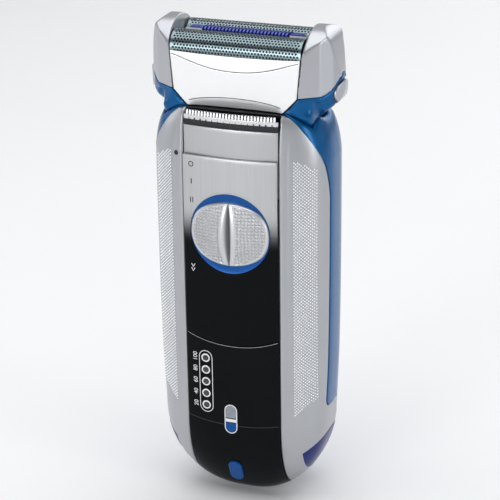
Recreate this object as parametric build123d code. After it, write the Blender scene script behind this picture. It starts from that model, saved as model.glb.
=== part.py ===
from build123d import *
import math
import os

# Electric shaver with a tilting twin-foil head, millimetres, +Z up.
# The handle stands on the flat around its charging socket; the front faces -Y.

os.makedirs("parts", exist_ok=True)

# ---------------------------------------------------------------- dimensions
HEIGHT = 160.0            # base flat to the tops of the head arms
SHELL = 1.8               # handle wall
SE_N = 2.8                # superellipse exponent of the handle section
DOME_Z = 29.0             # centre height of the rounded bottom
DOME_R = 30.2             # its vertical semi-axis
DOME_W = 28.1             # its half width
DOME_D = 18.5             # its half depth
# height, half width, half depth of the handle above the dome
BODY = [(29, 28.1, 18.5), (53, 29.0, 18.6), (118, 29.4, 18.4), (121.5, 29.1, 18.3), (125, 28.5, 18.1),
        (130, 26.7, 17.7), (133.5, 24.0, 17.1), (135, 21.5, 16.4)]
CAVITY_TOP = 124.2        # underside of the neck deck
# inner cavity as stacked rounded blocks: z0, z1, half width, half depth, corner radius
CAVITY = [(4.5, 10, 14.5, 8.5, 6.0), (10, 18, 20.5, 12.8, 10.0), (18, 28, 24.6, 15.4, 13.0),
          (28, 118, 26.6, 16.6, 15.0), (118, CAVITY_TOP, 24.6, 15.4, 13.0)]
PANEL_HW = 15.85          # half width of the front channel
PLATE_HW = 15.55          # half width of the sliding plates
PLATE_SAG = 1.2           # how much the plate edges fall back from the middle
SWITCH_FACE = -18.9       # front of the switch plate on the centre line
SWITCH_T = 1.0
SWITCH_TOP = 120.3
SWITCH_SMILE_Z = 57.5     # lowest point of the curved lower edge
SWITCH_SMILE_R = 42.1
COVER_FACE = -17.6        # front of the trimmer cover
COVER_T = 1.0
TRACK_FACE = -17.6
TRACK_T = 1.2
WEB_Y0, WEB_Y1 = -12.6, -11.4   # web of the front shell behind the slides
KNOB_Z = 95.5
DISH_R = 13.3
KNOB_A, KNOB_B = 12.5, 10.25
KNOB_FRONT = -21.4
SWITCH_TRAVEL = 14.0
TRIMMER_TRAVEL = 8.0
PIVOT_Z = 139.5           # axis of the tilting head, through Y = 0
NECK_R = 8.0              # round ears of the yoke, over the shoulders
DRUM_R = 13.4             # drum of the head that turns in the handle's socket
DRUM_HX = 24.6
NECK_GAP = 0.35
HEAD_HD = 12.5            # half depth of the head
HEAD_BOTTOM = 138.2       # underside of the head outside the drum
CORE_HX = 15.3            # half width of the black middle of the drum
FOIL_Y, FOIL_Z, FOIL_R, FOIL_T = 6.7, 152.0, 5.0, 0.3
PAD_PROUD = 0.7


# ------------------------------------------------------------------- helpers
def box(x0, x1, y0, y1, z0, z1):
    return Pos((x0 + x1) / 2, (y0 + y1) / 2, (z0 + z1) / 2) * Box(x1 - x0, y1 - y0, z1 - z0)


def cyl_z(r, x, y, z0, z1):
    return Pos(x, y, (z0 + z1) / 2) * Cylinder(r, z1 - z0)


def cyl_y(r, x, z, y0, y1):
    return Pos(x, (y0 + y1) / 2, z) * Rot(90, 0, 0) * Cylinder(r, y1 - y0)


def cyl_x(r, y, z, x0, x1):
    return Pos((x0 + x1) / 2, y, z) * Rot(0, 90, 0) * Cylinder(r, x1 - x0)


def ext_y(sketch, y0, y1):
    # a sketch drawn in X and Z, extruded from y0 to y1
    return extrude(Plane.XZ.offset(-y1) * sketch, amount=y1 - y0)


def ext_x(sketch, x0, x1):
    # a sketch drawn in Y and Z, extruded from x0 to x1
    return extrude(Plane.YZ.offset(x0) * sketch, amount=x1 - x0)


def ext_z(sketch, z0, z1):
    return extrude(Plane.XY.offset(z0) * sketch, amount=z1 - z0)


def poly(points):
    return make_face(Polyline(*points, close=True))


def interp(z, col):
    for (a, b) in zip(BODY, BODY[1:]):
        if a[0] <= z <= b[0]:
            t = (z - a[0]) / (b[0] - a[0])
            return a[col] + t * (b[col] - a[col])
    return BODY[0][col] if z < BODY[0][0] else BODY[-1][col]


def half_size(z, grow):
    # half width and half depth at height z of the handle grown by that much
    if z < DOME_Z:
        k = math.sqrt(max(0.0, 1 - ((DOME_Z - z) / (DOME_R + grow)) ** 2))
        return (DOME_W + grow) * k, (DOME_D + grow) * k
    return interp(z, 1) + grow, interp(z, 2) + grow


def section(z, grow):
    w, d = half_size(z, grow)
    pts = []
    count = 24
    for k in range(count):
        t = 2 * math.pi * k / count
        c, s = math.cos(t), math.sin(t)
        pts.append(Vector(w * math.copysign(abs(c) ** (2 / SE_N), c),
                          d * math.copysign(abs(s) ** (2 / SE_N), s), z))
    return Wire([Edge.make_spline(pts, periodic=True)])


def handle():
    # rounded bottom, two straight tapered lengths and the shoulder
    dome = Solid.make_loft([section(z, 0.0) for z in (0, 1.4, 4, 8, 13, 20, 29)], ruled=False)
    low = Solid.make_loft([section(29, 0.0), section(53, 0.0)], ruled=True)
    mid = Solid.make_loft([section(53, 0.0), section(118, 0.0)], ruled=True)
    top = Solid.make_loft([section(z, 0.0) for z in (118, 121.5, 125, 130, 133.5, 135)], ruled=False)
    return dome + low + mid + top


def arc_band(y_front, y_back, hw, sag=PLATE_SAG):
    # curved plate section in X and Y, bulging towards -Y
    s = sag * (hw / PLATE_HW) ** 2
    front = ThreePointArc((-hw, y_front + s), (0, y_front), (hw, y_front + s))
    back = ThreePointArc((hw, y_back + s), (0, y_back), (-hw, y_back + s))
    return make_face(front + Line((hw, y_front + s), (hw, y_back + s)) + back
                     + Line((-hw, y_back + s), (-hw, y_front + s)))


def arc_block(y_front, y_flat, hw, sag=PLATE_SAG):
    s = sag * (hw / PLATE_HW) ** 2
    front = ThreePointArc((-hw, y_front + s), (0, y_front), (hw, y_front + s))
    return make_face(front + Polyline((hw, y_front + s), (hw, y_flat), (-hw, y_flat), (-hw, y_front + s)))


nodes = {}

# -------------------------------------------------------------- handle bodies
outer = handle()
inner = Part()
for (z0, z1, hw, hd, r) in CAVITY:
    inner = inner + ext_z(RectangleRounded(2 * hw, 2 * hd, r), z0, z1)
# space behind the display panel
panel_back = box(-17, 17, -16.4, 20, 24, 70) + box(-17, 17, -14.6, 20, 16, 24) + box(-17, 17, -11.4, 20, 10, 16) \
    + box(-17, 17, -8.2, 20, 5.0, 10)

channel = box(-PANEL_HW, PANEL_HW, -40, WEB_Y0, 12, 140) + box(-PANEL_HW, PANEL_HW, -40, -6.2, -1, 12)
well = cyl_x(DRUM_R + NECK_GAP, 0, PIVOT_Z, -DRUM_HX - NECK_GAP, DRUM_HX + NECK_GAP)
saddle = cyl_x(NECK_R + NECK_GAP, 0, PIVOT_Z, -34, 34)

# rear region: the parting line runs up the side, then forward over the shoulder
part_curve = Spline((-5.6, 106), (-7.2, 115), (-9.2, 120.7), (-11.2, 126.0), (-12.6, 130.0),
                    (-13.3, 136.0), tangents=[(0, 1), (0, 1)])
rear_wire = part_curve + Polyline((-13.3, 136.0), (-13.3, 145), (40, 145), (40, -5), (7.5, -5), (7.5, 30.5))
rear_wire += ThreePointArc((7.5, 30.5), (6.62, 32.62), (4.5, 33.5))
rear_wire += Line((4.5, 33.5), (-2.6, 33.5))
rear_wire += ThreePointArc((-2.6, 33.5), (-4.72, 34.38), (-5.6, 36.5))
rear_wire += Line((-5.6, 36.5), (-5.6, 106))
rear_region = ext_x(make_face(rear_wire), -40, 40)

shell_all = outer - inner - channel - well - saddle

# charging socket plug in the bottom
socket_outer = extrude(Pos(0, 0, 0) * SlotOverall(15.0, 9.6), amount=8.0)
shell_all -= socket_outer

# pivot posts pass up through the deck
POST_X0, POST_X1, POST_HY = 21.5, 23.5, 2.6
for s in (1, -1):
    shell_all -= box(min(s * POST_X0, s * POST_X1) - 0.05, max(s * POST_X0, s * POST_X1) + 0.05,
                     -POST_HY - 0.05, POST_HY + 0.05, 120, 140)
# passage of the drive pin
shell_all -= box(-3.3, 3.3, -2.2, 2.2, 120, 140)

inlay_tool = ext_x(Pos(0.5, 14.0) * Ellipse(12.5, 10.4), 15.9, 40)
inlay_right = (shell_all & inlay_tool)
nodes["corner_inlay_right"] = inlay_right
nodes["corner_inlay_left"] = mirror(inlay_right, about=Plane.YZ)
shell_all = shell_all - inlay_tool - mirror(inlay_tool, about=Plane.YZ)

front = shell_all - rear_region
rear = shell_all & rear_region

# web that joins the two sides of the front shell behind the slides
web = box(-17.6, 17.6, WEB_Y0, WEB_Y1, 20, CAVITY_TOP)
for s in (1, -1):
    x0, x1 = sorted((s * PANEL_HW, s * 17.6))
    web = web + box(x0, x1, -16.4, WEB_Y1, 26, 118) + box(x0, x1, -15.2, WEB_Y1, 118, CAVITY_TOP)
web -= box(-3.4, 3.4, -20, 0, KNOB_Z - 9.9, KNOB_Z + 10.9)
web -= box(-10.6, -7.4, -20, 0, 33, 54)
web -= rear_region
front = front + web

# screw bosses
SCREWS = [(20.5, 32.0), (-20.5, 32.0), (20.5, 98.0), (-20.5, 98.0)]
for (x, z) in SCREWS:
    boss = cyl_y(3.2, x, z, -30, 9.0) & inner
    hole = cyl_y(1.1, x, z, -2.0, 30)
    front = front + boss - hole
    rboss = cyl_y(3.2, x, z, 9.0, 30) & inner
    rear = rear + rboss - cyl_y(1.1, x, z, 5, 30) - cyl_y(2.3, x, z, 13.4, 30)

# rubber pad let into the back
pad_region = ext_y(Pos(0, 72) * RectangleRounded(27, 66, 9), 5, 40)
PAD_BACK = 18.6 + PAD_PROUD
pad_band = mirror(arc_band(-PAD_BACK, -17.6, 14.0, 1.0), about=Plane.XZ)
nodes["rear_grip_pad"] = ext_z(pad_band, 30, 115) & pad_region
rear = rear - (ext_z(mirror(arc_band(-30, -17.6, 14.0, 1.0), about=Plane.XZ), 30, 115) & pad_region)

# two contact pads low on the back
contacts = Part()
for x in (-6.5, 6.5):
    contacts = contacts + cyl_y(2.6, x, 24, 13.2, 18.0)
    rear = rear - cyl_y(2.6, x, 24, 13.2, 40)
nodes["charge_contacts"] = contacts
nodes["front_shell"] = front
nodes["rear_shell"] = rear

# small black position mark on the left of the front shell
DOT_X, DOT_Z = -18.1, 120.0
dot_tool = cyl_y(0.8, DOT_X, DOT_Z, -30, -15.2)
nodes["index_dot"] = cyl_y(0.8, DOT_X, DOT_Z, -16.55, -15.2)
nodes["front_shell"] = nodes["front_shell"] - dot_tool

screws = Part()
for (x, z) in SCREWS:
    screws = screws + cyl_y(2.2, x, z, 13.4, 15.2) + cyl_y(1.05, x, z, -1.5, 13.4) \
        - box(x - 0.4, x + 0.4, 14.5, 16, z - 1.7, z + 1.7) - box(x - 1.7, x + 1.7, 14.5, 16, z - 0.4, z + 0.4)
nodes["housing_screws"] = screws

# ------------------------------------------------------------- display panel
smile_keep = cyl_y(SWITCH_SMILE_R, 0, SWITCH_SMILE_Z + SWITCH_SMILE_R, -40, 40)
smile_cut = cyl_y(SWITCH_SMILE_R + 0.25, 0, SWITCH_SMILE_Z + SWITCH_SMILE_R, -40, 40)
panel = (outer & (box(-PANEL_HW, PANEL_HW, -40, WEB_Y0, 12, 60.8) + box(-PANEL_HW, PANEL_HW, -40, -6.2, -1, 12)))
panel = panel - panel_back - smile_cut - socket_outer
panel = panel.solids().sort_by(SortBy.VOLUME)[-1]
RINGS = [(-9.0, 51.7), (-9.0, 47.5), (-9.0, 43.3), (-9.0, 39.1), (-9.0, 34.9)]
lenses = Part()
for (x, z) in RINGS:
    # eight-sided window round each lens
    corners = [(x + 1.42 * math.cos(math.pi * (2 * k + 1) / 8), z + 1.42 * math.sin(math.pi * (2 * k + 1) / 8)) for k in range(8)]
    lenses = lenses + cyl_y(1.3, x, z, -18.2, -16.4)
    panel = panel - ext_y(poly(corners), -30, -12)
nodes["ring_lenses"] = lenses
cap_tool = ext_y(poly([(-0.6 + a, 31.0 + b) for (a, b) in ((-2.15, -3.6), (-1.3, -5.2), (1.3, -5.2), (2.15, -3.6),
                                                           (2.15, 3.6), (1.3, 5.2), (-1.3, 5.2), (-2.15, 3.6))]), -30, -12)
nodes["cutter_indicator_lens"] = ext_y(Pos(-0.6, 31.0) * Rot(0, 0, 90) * SlotOverall(10.4, 4.3), -18.3, -16.4)
panel = panel - cap_tool
# reset button on the curved lower end, sliding along the local normal
RESET_ANG = 24.0
RESET_C = Vector(-0.4, -15.0, 11.2)
reset_plane = Plane(origin=RESET_C, x_dir=(1, 0, 0),
                    z_dir=(0, -math.cos(math.radians(RESET_ANG)), -math.sin(math.radians(RESET_ANG))))
slot_hole = extrude(reset_plane * (Rot(0, 0, 90) * SlotOverall(8.2, 5.0)), amount=6) \
    + extrude(reset_plane * (Rot(0, 0, 90) * SlotOverall(8.2, 5.0)), amount=-6)
panel = panel - slot_hole
nodes["front_shell"] = nodes["front_shell"] - slot_hole
button = extrude(reset_plane.offset(-2.6) * (Rot(0, 0, 90) * SlotOverall(7.7, 4.5)), amount=3.4)
button = fillet(button.faces().sort_by(Axis((0, 0, 0), reset_plane.z_dir))[-1].edges(), 0.5)
nodes["reset_button"] = button
nodes["display_panel"] = panel
nodes["light_guide"] = box(-10.5, -7.5, -16.4, -12.5, 33.2, 53.8)
leds = Part()
for (x, z) in RINGS:
    leds = leds + box(x - 0.8, x + 0.8, -12.2, -10.4, z - 0.8, z + 0.8)
nodes["indicator_leds"] = leds

# ------------------------------------------------------------- switch slides
plate = ext_z(arc_band(SWITCH_FACE, SWITCH_FACE + SWITCH_T, PLATE_HW), 50, SWITCH_TOP)
plate = (plate & smile_keep) - cyl_y(DISH_R, 0, KNOB_Z, -40, 0)
nodes["switch_plate"] = plate
knob_oval = Pos(0, KNOB_Z) * Ellipse(KNOB_A, KNOB_B)
dish = ext_z(arc_band(SWITCH_FACE + 0.1, SWITCH_FACE + SWITCH_T, PLATE_HW), 80, 112) & cyl_y(DISH_R, 0, KNOB_Z, -40, 0)
dish = dish - Pos(0, SWITCH_FACE + 0.62 - 130, KNOB_Z) * Sphere(130)
dish = dish - ext_y(knob_oval, -40, 0)
nodes["switch_dish"] = dish
KNOB_SPH = 34.0
knob = ext_y(knob_oval, KNOB_FRONT - 1, SWITCH_FACE + SWITCH_T) & (Pos(0, KNOB_FRONT + KNOB_SPH, KNOB_Z) * Sphere(KNOB_SPH))
knob = knob - cyl_z(7.0, 0, KNOB_FRONT + 0.9 - 7.0, KNOB_Z - 20, KNOB_Z + 20)
knob = knob - (Pos(0, SWITCH_FACE + SWITCH_T + 0.0, KNOB_Z) * Box(0.01, 0.01, 0.01))
nodes["switch_knob"] = knob
carriage = box(-3, 3, SWITCH_FACE + SWITCH_T, -12.9, 86, 92) + box(-5.5, 5.5, -16.0, -14.6, 84.4, 93.4)
nodes["switch_carriage"] = carriage & (ext_z(arc_block(SWITCH_FACE + SWITCH_T, -12.9, PLATE_HW), 80, 100))
nodes["switch_wiper"] = box(-2.4, 2.4, -12.9, -10.8, 86.6, 91.4) - box(-0.6, 0.6, -12.0, -10.0, 86, 92)

track = ext_z(arc_band(TRACK_FACE, TRACK_FACE + TRACK_T, PANEL_HW), 57.0, 107.4)
track = track - box(-3.4, 3.4, -30, 0, KNOB_Z - 9.9, KNOB_Z + 10.9)
for s in (-12.0, 12.0):
    track = track + (box(s - 0.6, s + 0.6, TRACK_FACE + 0.5, WEB_Y0, 58.0, 107.4)
                     - ext_z(arc_band(TRACK_FACE - 5, TRACK_FACE, PANEL_HW), 50, 110))
nodes["slider_track"] = track & smile_cut

# ---------------------------------------------------------- long hair trimmer
nodes["trimmer_cover"] = ext_z(arc_band(COVER_FACE, COVER_FACE + COVER_T, PLATE_HW - 0.05), 108.0, 129.6)
carrier = ext_z(arc_block(COVER_FACE + COVER_T, -14.0, PLATE_HW - 0.05), 112.0, 131.9)
carrier = carrier + ext_z(arc_band(COVER_FACE + 0.45, COVER_FACE + COVER_T, PLATE_HW - 0.05), 129.8, 131.9)
carrier = carrier - box(-12.5, 12.5, -16.1, -10, 114, 129.0)
carrier = carrier + ext_z(arc_block(-15.6 + 0.25, -14.5 + 0.2, 13.0), 131.9, 133.0)
nodes["trimmer_carrier"] = carrier
TOOTH = 1.24
comb = ext_z(arc_band(COVER_FACE + 0.45, COVER_FACE + 1.05, PLATE_HW - 0.05), 131.9, 134.3)
blade = ext_z(arc_band(COVER_FACE + 1.25, COVER_FACE + 1.85, 14.4), 132.0, 134.1)
gaps = Part()
gaps2 = Part()
for k in range(-12, 12):
    x = (k + 0.5) * TOOTH
    gaps = gaps + box(x - 0.34, x + 0.34, -20, -14, 132.5, 136)
    if abs(x) < 14.0:
        gaps2 = gaps2 + box(x - 0.34, x + 0.34, -20, -14, 132.7, 136)
nodes["trimmer_comb"] = comb - gaps
nodes["trimmer_blade"] = blade - gaps2

# ---------------------------------------------------------------- inner works
BATT_Y, BATT_R = 5.6, 7.0
batts = cyl_z(BATT_R, -8.0, BATT_Y, 17, 66) + cyl_z(BATT_R, 8.0, BATT_Y, 17, 66) \
    + cyl_z(2.2, -8.0, BATT_Y, 66, 67.2) + cyl_z(2.2, 8.0, BATT_Y, 66, 67.2)
nodes["battery_cells"] = batts
nodes["battery_tabs"] = box(-10.5, 10.5, BATT_Y - 2, BATT_Y + 2, 67.2, 67.6) + box(-10.5, -5.5, BATT_Y - 2, BATT_Y + 2, 16.6, 17.0) \
    + box(5.5, 10.5, BATT_Y - 2, BATT_Y + 2, 16.6, 17.0)
nodes["circuit_board"] = box(-14, 14, -10.4, -9.0, 20, 106)
comps = box(-5, 5, -9.0, -7.6, 70, 78) + box(6, 10, -9.0, -7.4, 84, 89) + box(-11, -6, -9.0, -7.6, 92, 98) + box(-3, 3, -9.0, -7.8, 22, 26)
nodes["board_components"] = comps
chassis = box(-16.8, 16.8, -7.2, -5.9, 12, 112.4)
for z in (24, 42, 60):
    chassis = chassis + box(-16.4, 16.4, -5.9, 3.0, z - 0.8, z + 0.8)
chassis = chassis - cyl_z(BATT_R, -8.0, BATT_Y, 10, 70) - cyl_z(BATT_R, 8.0, BATT_Y, 10, 70)
nodes["chassis"] = chassis
MOT_Y, MOT_R = 5.5, 9.5
nodes["motor_case"] = cyl_z(MOT_R, 0, MOT_Y, 78, 112.4) - cyl_z(1.06, 0, MOT_Y, 104, 114)
mount = box(-17.4, 17.4, -7.2, 13.4, 112.4, 114.2) - cyl_z(4.0, 0, MOT_Y, 110, 116)
for s in (1, -1):
    x0, x1 = sorted((s * 15.8, s * 17.4))
    mount = mount + box(x0, x1, -7.0, 13.2, 114.2, 123.6)
ROD_Y = (-4.8, 11.4)
for y in ROD_Y:
    mount = mount - cyl_x(0.8, y, 121.8, -20, 20)
nodes["motor_mount"] = mount
nodes["guide_rods"] = cyl_x(0.8, ROD_Y[0], 121.8, -17.4, 17.4) + cyl_x(0.8, ROD_Y[1], 121.8, -17.4, 17.4)
nodes["motor_shaft"] = cyl_z(1.0, 0, MOT_Y, 104.5, 119.0)
ECC = 1.0
cam = cyl_z(3.6, 0, MOT_Y, 115.4, 118.6) - cyl_z(1.0, 0, MOT_Y, 110, 119.0) + cyl_z(1.0, 0, MOT_Y + ECC, 119.0, 123.0) \
    + (cyl_z(2.2, 0, MOT_Y + 0.3, 118.6, 119.6) - cyl_z(1.0, 0, MOT_Y, 110, 119.0))
nodes["eccentric_cam"] = cam
bridge = box(-12, 12, -6.6, 13.2, 120.2, 123.4) - box(-3.4, 3.4, MOT_Y - 2.4, MOT_Y + 2.4, 119, 125)
for y in ROD_Y:
    bridge = bridge - cyl_x(0.86, y, 121.8, -20, 20)
bridge = bridge - box(-8.5, 8.5, -6.9, -2.4, 119, 125) - box(-8.5, 8.5, 9.4, 13.5, 119, 125)
nodes["drive_bridge"] = bridge
nodes["drive_pin"] = cyl_z(1.6, 0, 0, 123.4, 140.6)

posts = Part()
for s in (1, -1):
    x0, x1 = sorted((s * POST_X0, s * POST_X1))
    f0, f1 = sorted((s * 18.6, s * POST_X1))
    post = box(f0, f1, -5, 5, CAVITY_TOP - 1.8, CAVITY_TOP) + box(x0, x1, -POST_HY, POST_HY, CAVITY_TOP, PIVOT_Z) \
        + cyl_x(POST_HY, 0, PIVOT_Z, x0, x1)
    posts = posts + (post - cyl_x(1.55, 0, PIVOT_Z, x0 - 1, x1 + 1))
nodes["pivot_posts"] = posts
nodes["drive_seal"] = box(-4.6, 4.6, -3.6, 3.6, CAVITY_TOP - 0.5, CAVITY_TOP) - box(-3.1, 3.1, -2.0, 2.0, 120, 140)

sock = socket_outer - extrude(Pos(0, 0, 0) * SlotOverall(10.6, 3.8), amount=5.6)
nodes["charging_socket"] = sock
nodes["charging_pins"] = cyl_z(0.75, -3.0, 0, 1.4, 5.6) + cyl_z(0.75, 3.0, 0, 1.4, 5.6)

# ------------------------------------------------------------------- the head
# front outline: neck, yoke bulge, arms leaning in to rounded tops
sil = [(DRUM_HX, 132.0), (27.6, 134.3), (30.3, 137.0), (31.4, 140.2), (31.3, 143.5),
       (30.3, 149.5), (29.2, 154.8), (28.0, 158.2), (26.0, 159.8), (24.2, 160.0)]
sil_curve = Spline(*sil, tangents=[(1, 0.45), (-1, 0)])
head_front = make_face(sil_curve + Polyline((24.2, 160.0), (-24.2, 160.0))
                       + mirror(sil_curve, about=Plane.YZ)
                       + Polyline((-DRUM_HX, 132.0), (-DRUM_HX, 124.0), (DRUM_HX, 124.0), (DRUM_HX, 132.0)))
plan = [(20.8, -12.5), (26.4, -8.6), (29.6, -4.6), (31.5, -0.6), (31.5, 2.6), (29.6, 6.2), (26.4, 9.6), (20.8, 12.5)]
plan = plan + [(-x, y) for (x, y) in reversed(plan)]
head_plan = ext_z(poly(plan), 134.4, 165) + box(-40, 40, -HEAD_HD, HEAD_HD, 120, 134.4)
# side outline: upright sides, arched top
side_top = ThreePointArc((-HEAD_HD, 151.6), (0, HEIGHT), (HEAD_HD, 151.6))
head_side = make_face(side_top + Polyline((HEAD_HD, 151.6), (HEAD_HD, HEAD_BOTTOM), (-HEAD_HD, HEAD_BOTTOM), (-HEAD_HD, 151.6)))
head_body = ext_x(head_side, -40, 40) + cyl_x(NECK_R, 0, PIVOT_Z, -40, 40) + cyl_x(DRUM_R, 0, PIVOT_Z, -DRUM_HX, DRUM_HX)
head_body = head_body & ext_y(head_front, -HEAD_HD, HEAD_HD) & head_plan


def hexagon(grow):
    # front outline of the cassette, widening upwards
    g = grow
    right = [(15.5 + g * 0.41, 134.5 - g), (20.1 + g, 139.4 - g * 0.41), (21.2 + g, 152.4), (22.0 + g, 162.0)]
    return poly(right + [(-x, z) for (x, z) in reversed(right)])


hex_cut = ext_y(hexagon(0.3), -30, 30)
head_shell = head_body - hex_cut
# colour split between the blue yoke and the silver arms
bell = Spline((-8.6, 139.6), (-6.0, 140.4), (-3.0, 143.2), (0.0, 145.3), (1.0, 145.5), (2.0, 145.3), (5.0, 143.2),
              (8.0, 140.4), (10.6, 139.6), tangents=[(1, 0), (1, 0)])
below = make_face(bell + Polyline((10.6, 139.6), (20, 139.6), (20, 120), (-20, 120), (-20, 139.6), (-8.6, 139.6)))
yoke_zone = ext_x(below, -40, 40)
arms = head_shell - yoke_zone
right_arm = (arms & box(0, 40, -20, 20, 120, 170))
left_arm = (arms & box(-40, 0, -20, 20, 120, 170))
yoke_all = head_shell & yoke_zone
# black middle of the drum with the cutter rails
core = yoke_all & box(-CORE_HX, CORE_HX, -20, 20, 120, 134.2)
core = core - (cyl_x(DRUM_R - 1.5, 0, PIVOT_Z, -13.8, 13.8) & box(-14, 14, -20, 20, 120, 132.6))
core = core + box(-12, 12, 6.0, 7.0, 134.1, 140.6) + box(-12, 12, -7.0, -6.0, 134.1, 140.6)
core = core - box(-3.4, 3.4, -5.0, 5.0, 120, 135)
nodes["head_drum"] = core
REL_Y, REL_Z = 1.0, 139.3
yokes = {}
for s in (1, -1):
    x0, x1 = sorted((s * (POST_X0 - 0.3), s * (POST_X1 + 0.3)))
    slot = box(x0, x1, -5.9, 5.9, 120, PIVOT_Z) + cyl_x(5.9, 0, PIVOT_Z, x0, x1)
    bore = cyl_x(1.5, 0, PIVOT_Z, min(s * 20.9, s * 26.2), max(s * 20.9, s * 26.2))
    pocket = ext_x(Pos(REL_Y, REL_Z) * Ellipse(5.6, 4.4), min(s * 26.6, s * 40), max(s * 26.6, s * 40))
    side = box(min(s * 14.9, s * 40), max(s * 14.9, s * 40), -20, 20, 120, 170) - box(-CORE_HX, CORE_HX, -20, 20, 110, 134.2)
    yokes[s] = (yoke_all & side) - slot - bore - pocket
    if s == 1:
        right_arm = right_arm - slot - bore - pocket
    else:
        left_arm = left_arm - slot - bore - pocket
nodes["head_yoke_right"] = yokes[1]
nodes["head_yoke_left"] = yokes[-1]
nodes["head_arm_right"] = right_arm
nodes["head_arm_left"] = left_arm
nodes["pivot_pins"] = cyl_x(1.5, 0, PIVOT_Z, 20.9, 26.2) + cyl_x(1.5, 0, PIVOT_Z, -26.2, -20.9)
btn_r = ext_x(Pos(REL_Y, REL_Z) * Ellipse(5.35, 4.15), 28.0, 34.0) & head_body.moved(Location((0.5, 0, 0)))
btn_r = btn_r - cyl_x(1.9, REL_Y, REL_Z, 27.0, 29.4)
nodes["release_button_right"] = btn_r
nodes["release_button_left"] = mirror(btn_r, about=Plane.YZ)
spring_r = cyl_x(1.6, REL_Y, REL_Z, 26.6, 28.2) - cyl_x(1.0, REL_Y, REL_Z, 26.0, 30)
nodes["release_springs"] = spring_r + mirror(spring_r, about=Plane.YZ)

# removable foil cassette
cass = ext_y(hexagon(0.0), -HEAD_HD, HEAD_HD) & box(-30, 30, -20, 20, 130, 152.4)
cass = cass - box(-30, 30, -11.3, 11.3, 130, 140.0) - box(-19.0, 19.0, -11.3, 11.3, 139, 160)
cass = cass - box(-30, 30, -11.95, 11.95, 148.2, 160)
cass = cass - box(-19.0, 19.0, -11.95, 11.95, 145.0, 160)
nodes["cassette_frame"] = cass


def foil(y):
    arch = cyl_x(FOIL_R, y, FOIL_Z, -21.2, 21.2) - cyl_x(FOIL_R - FOIL_T, y, FOIL_Z, -22, 22) - box(-30, 30, -30, 30, 140, FOIL_Z - 1.6)
    legs = box(-18.7, 18.7, y - FOIL_R, y - FOIL_R + FOIL_T, 147.2, FOIL_Z) + box(-18.7, 18.7, y + FOIL_R - FOIL_T, y + FOIL_R, 147.2, FOIL_Z)
    ends = box(-21.2, 21.2, y - FOIL_R, y - FOIL_R + FOIL_T, FOIL_Z - 1.6, FOIL_Z) + box(-21.2, 21.2, y + FOIL_R - FOIL_T, y + FOIL_R, FOIL_Z - 1.6, FOIL_Z)
    arch = arch - box(-30, 30, -30, 30, 140, FOIL_Z)
    return arch + legs + ends


def clips(y):
    out = Part()
    for s in (1, -1):
        x0, x1 = sorted((s * 20.2, s * 21.2))
        c = (cyl_x(FOIL_R - FOIL_T, y, FOIL_Z, x0, x1) + box(x0, x1, y - FOIL_R + FOIL_T, y + FOIL_R - FOIL_T, FOIL_Z - 1.6, FOIL_Z)) \
            & box(-30, 30, -30, 30, FOIL_Z - 1.6, 170)
        out = out + c
    return out


nodes["foil_front"] = foil(-FOIL_Y)
nodes["foil_rear"] = foil(FOIL_Y)
nodes["foil_clips_front"] = clips(-FOIL_Y)
nodes["foil_clips_rear"] = clips(FOIL_Y)
mid = box(-18.6, 18.6, -1.3, 1.3, 148.0, 156.6) + box(-20.6, 20.6, -1.3, 1.3, 152.0, 156.2)
nodes["middle_trimmer"] = mid

# oscillating cutters
cutcar = box(-15, 15, -8.6, 8.6, 141.0, 142.6)
cutcar = cutcar + box(1.66, 3.6, -4.5, 4.5, 136.6, 141.0) + box(-3.6, -1.66, -4.5, 4.5, 136.6, 141.0)
for y in (-FOIL_Y, FOIL_Y):
    cutcar = cutcar + cyl_z(0.9, -8, y, 142.6, 145.4) + cyl_z(0.9, 8, y, 142.6, 145.4)
nodes["cutter_carrier"] = cutcar
springs = Part()
for y in (-FOIL_Y, FOIL_Y):
    for x in (-8, 8):
        springs = springs + (cyl_z(1.7, x, y, 142.6, 146.6) - cyl_z(1.1, x, y, 142, 150))
nodes["cutter_springs"] = springs


def cutter(y):
    b = cyl_x(4.4, y, FOIL_Z, -18.0, 18.0) & box(-20, 20, -20, 20, 149.4, 160)
    b = b + box(-17.0, 17.0, y - 3.2, y + 3.2, 146.9, 149.4)
    slots = Part()
    for k in range(-8, 9):
        slots = slots + box(k * 2.1 - 0.55, k * 2.1 + 0.55, y - 6, y + 6, 151.4, 160)
    b = b - slots
    for x in (-8, 8):
        b = b - cyl_z(2.0, x, y, 146, 149.0)
    return b


nodes["cutter_block_front"] = cutter(-FOIL_Y)
nodes["cutter_block_rear"] = cutter(FOIL_Y)

# -------------------------------------------------------------------- writing
lo = [1e9] * 3
hi = [-1e9] * 3
for name, shape in nodes.items():
    b = shape.bounding_box()
    lo = [min(lo[0], b.min.X), min(lo[1], b.min.Y), min(lo[2], b.min.Z)]
    hi = [max(hi[0], b.max.X), max(hi[1], b.max.Y), max(hi[2], b.max.Z)]
shift = Location((0, -(lo[1] + hi[1]) / 2, 0))
print("box", [round(v, 3) for v in lo], [round(v, 3) for v in hi], "shift Y", round(-(lo[1] + hi[1]) / 2, 4))
for name, shape in nodes.items():
    solids = [s for s in shape.solids() if s.volume > 1e-4]
    out = Compound(children=[s.moved(shift) for s in solids]) if len(solids) > 1 else solids[0].moved(shift)
    export_step(out, f"parts/{name}.step")
print(len(nodes), "nodes")
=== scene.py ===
import math

import bmesh
import bpy
import numpy as np
from mathutils import Matrix, Vector


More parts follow.
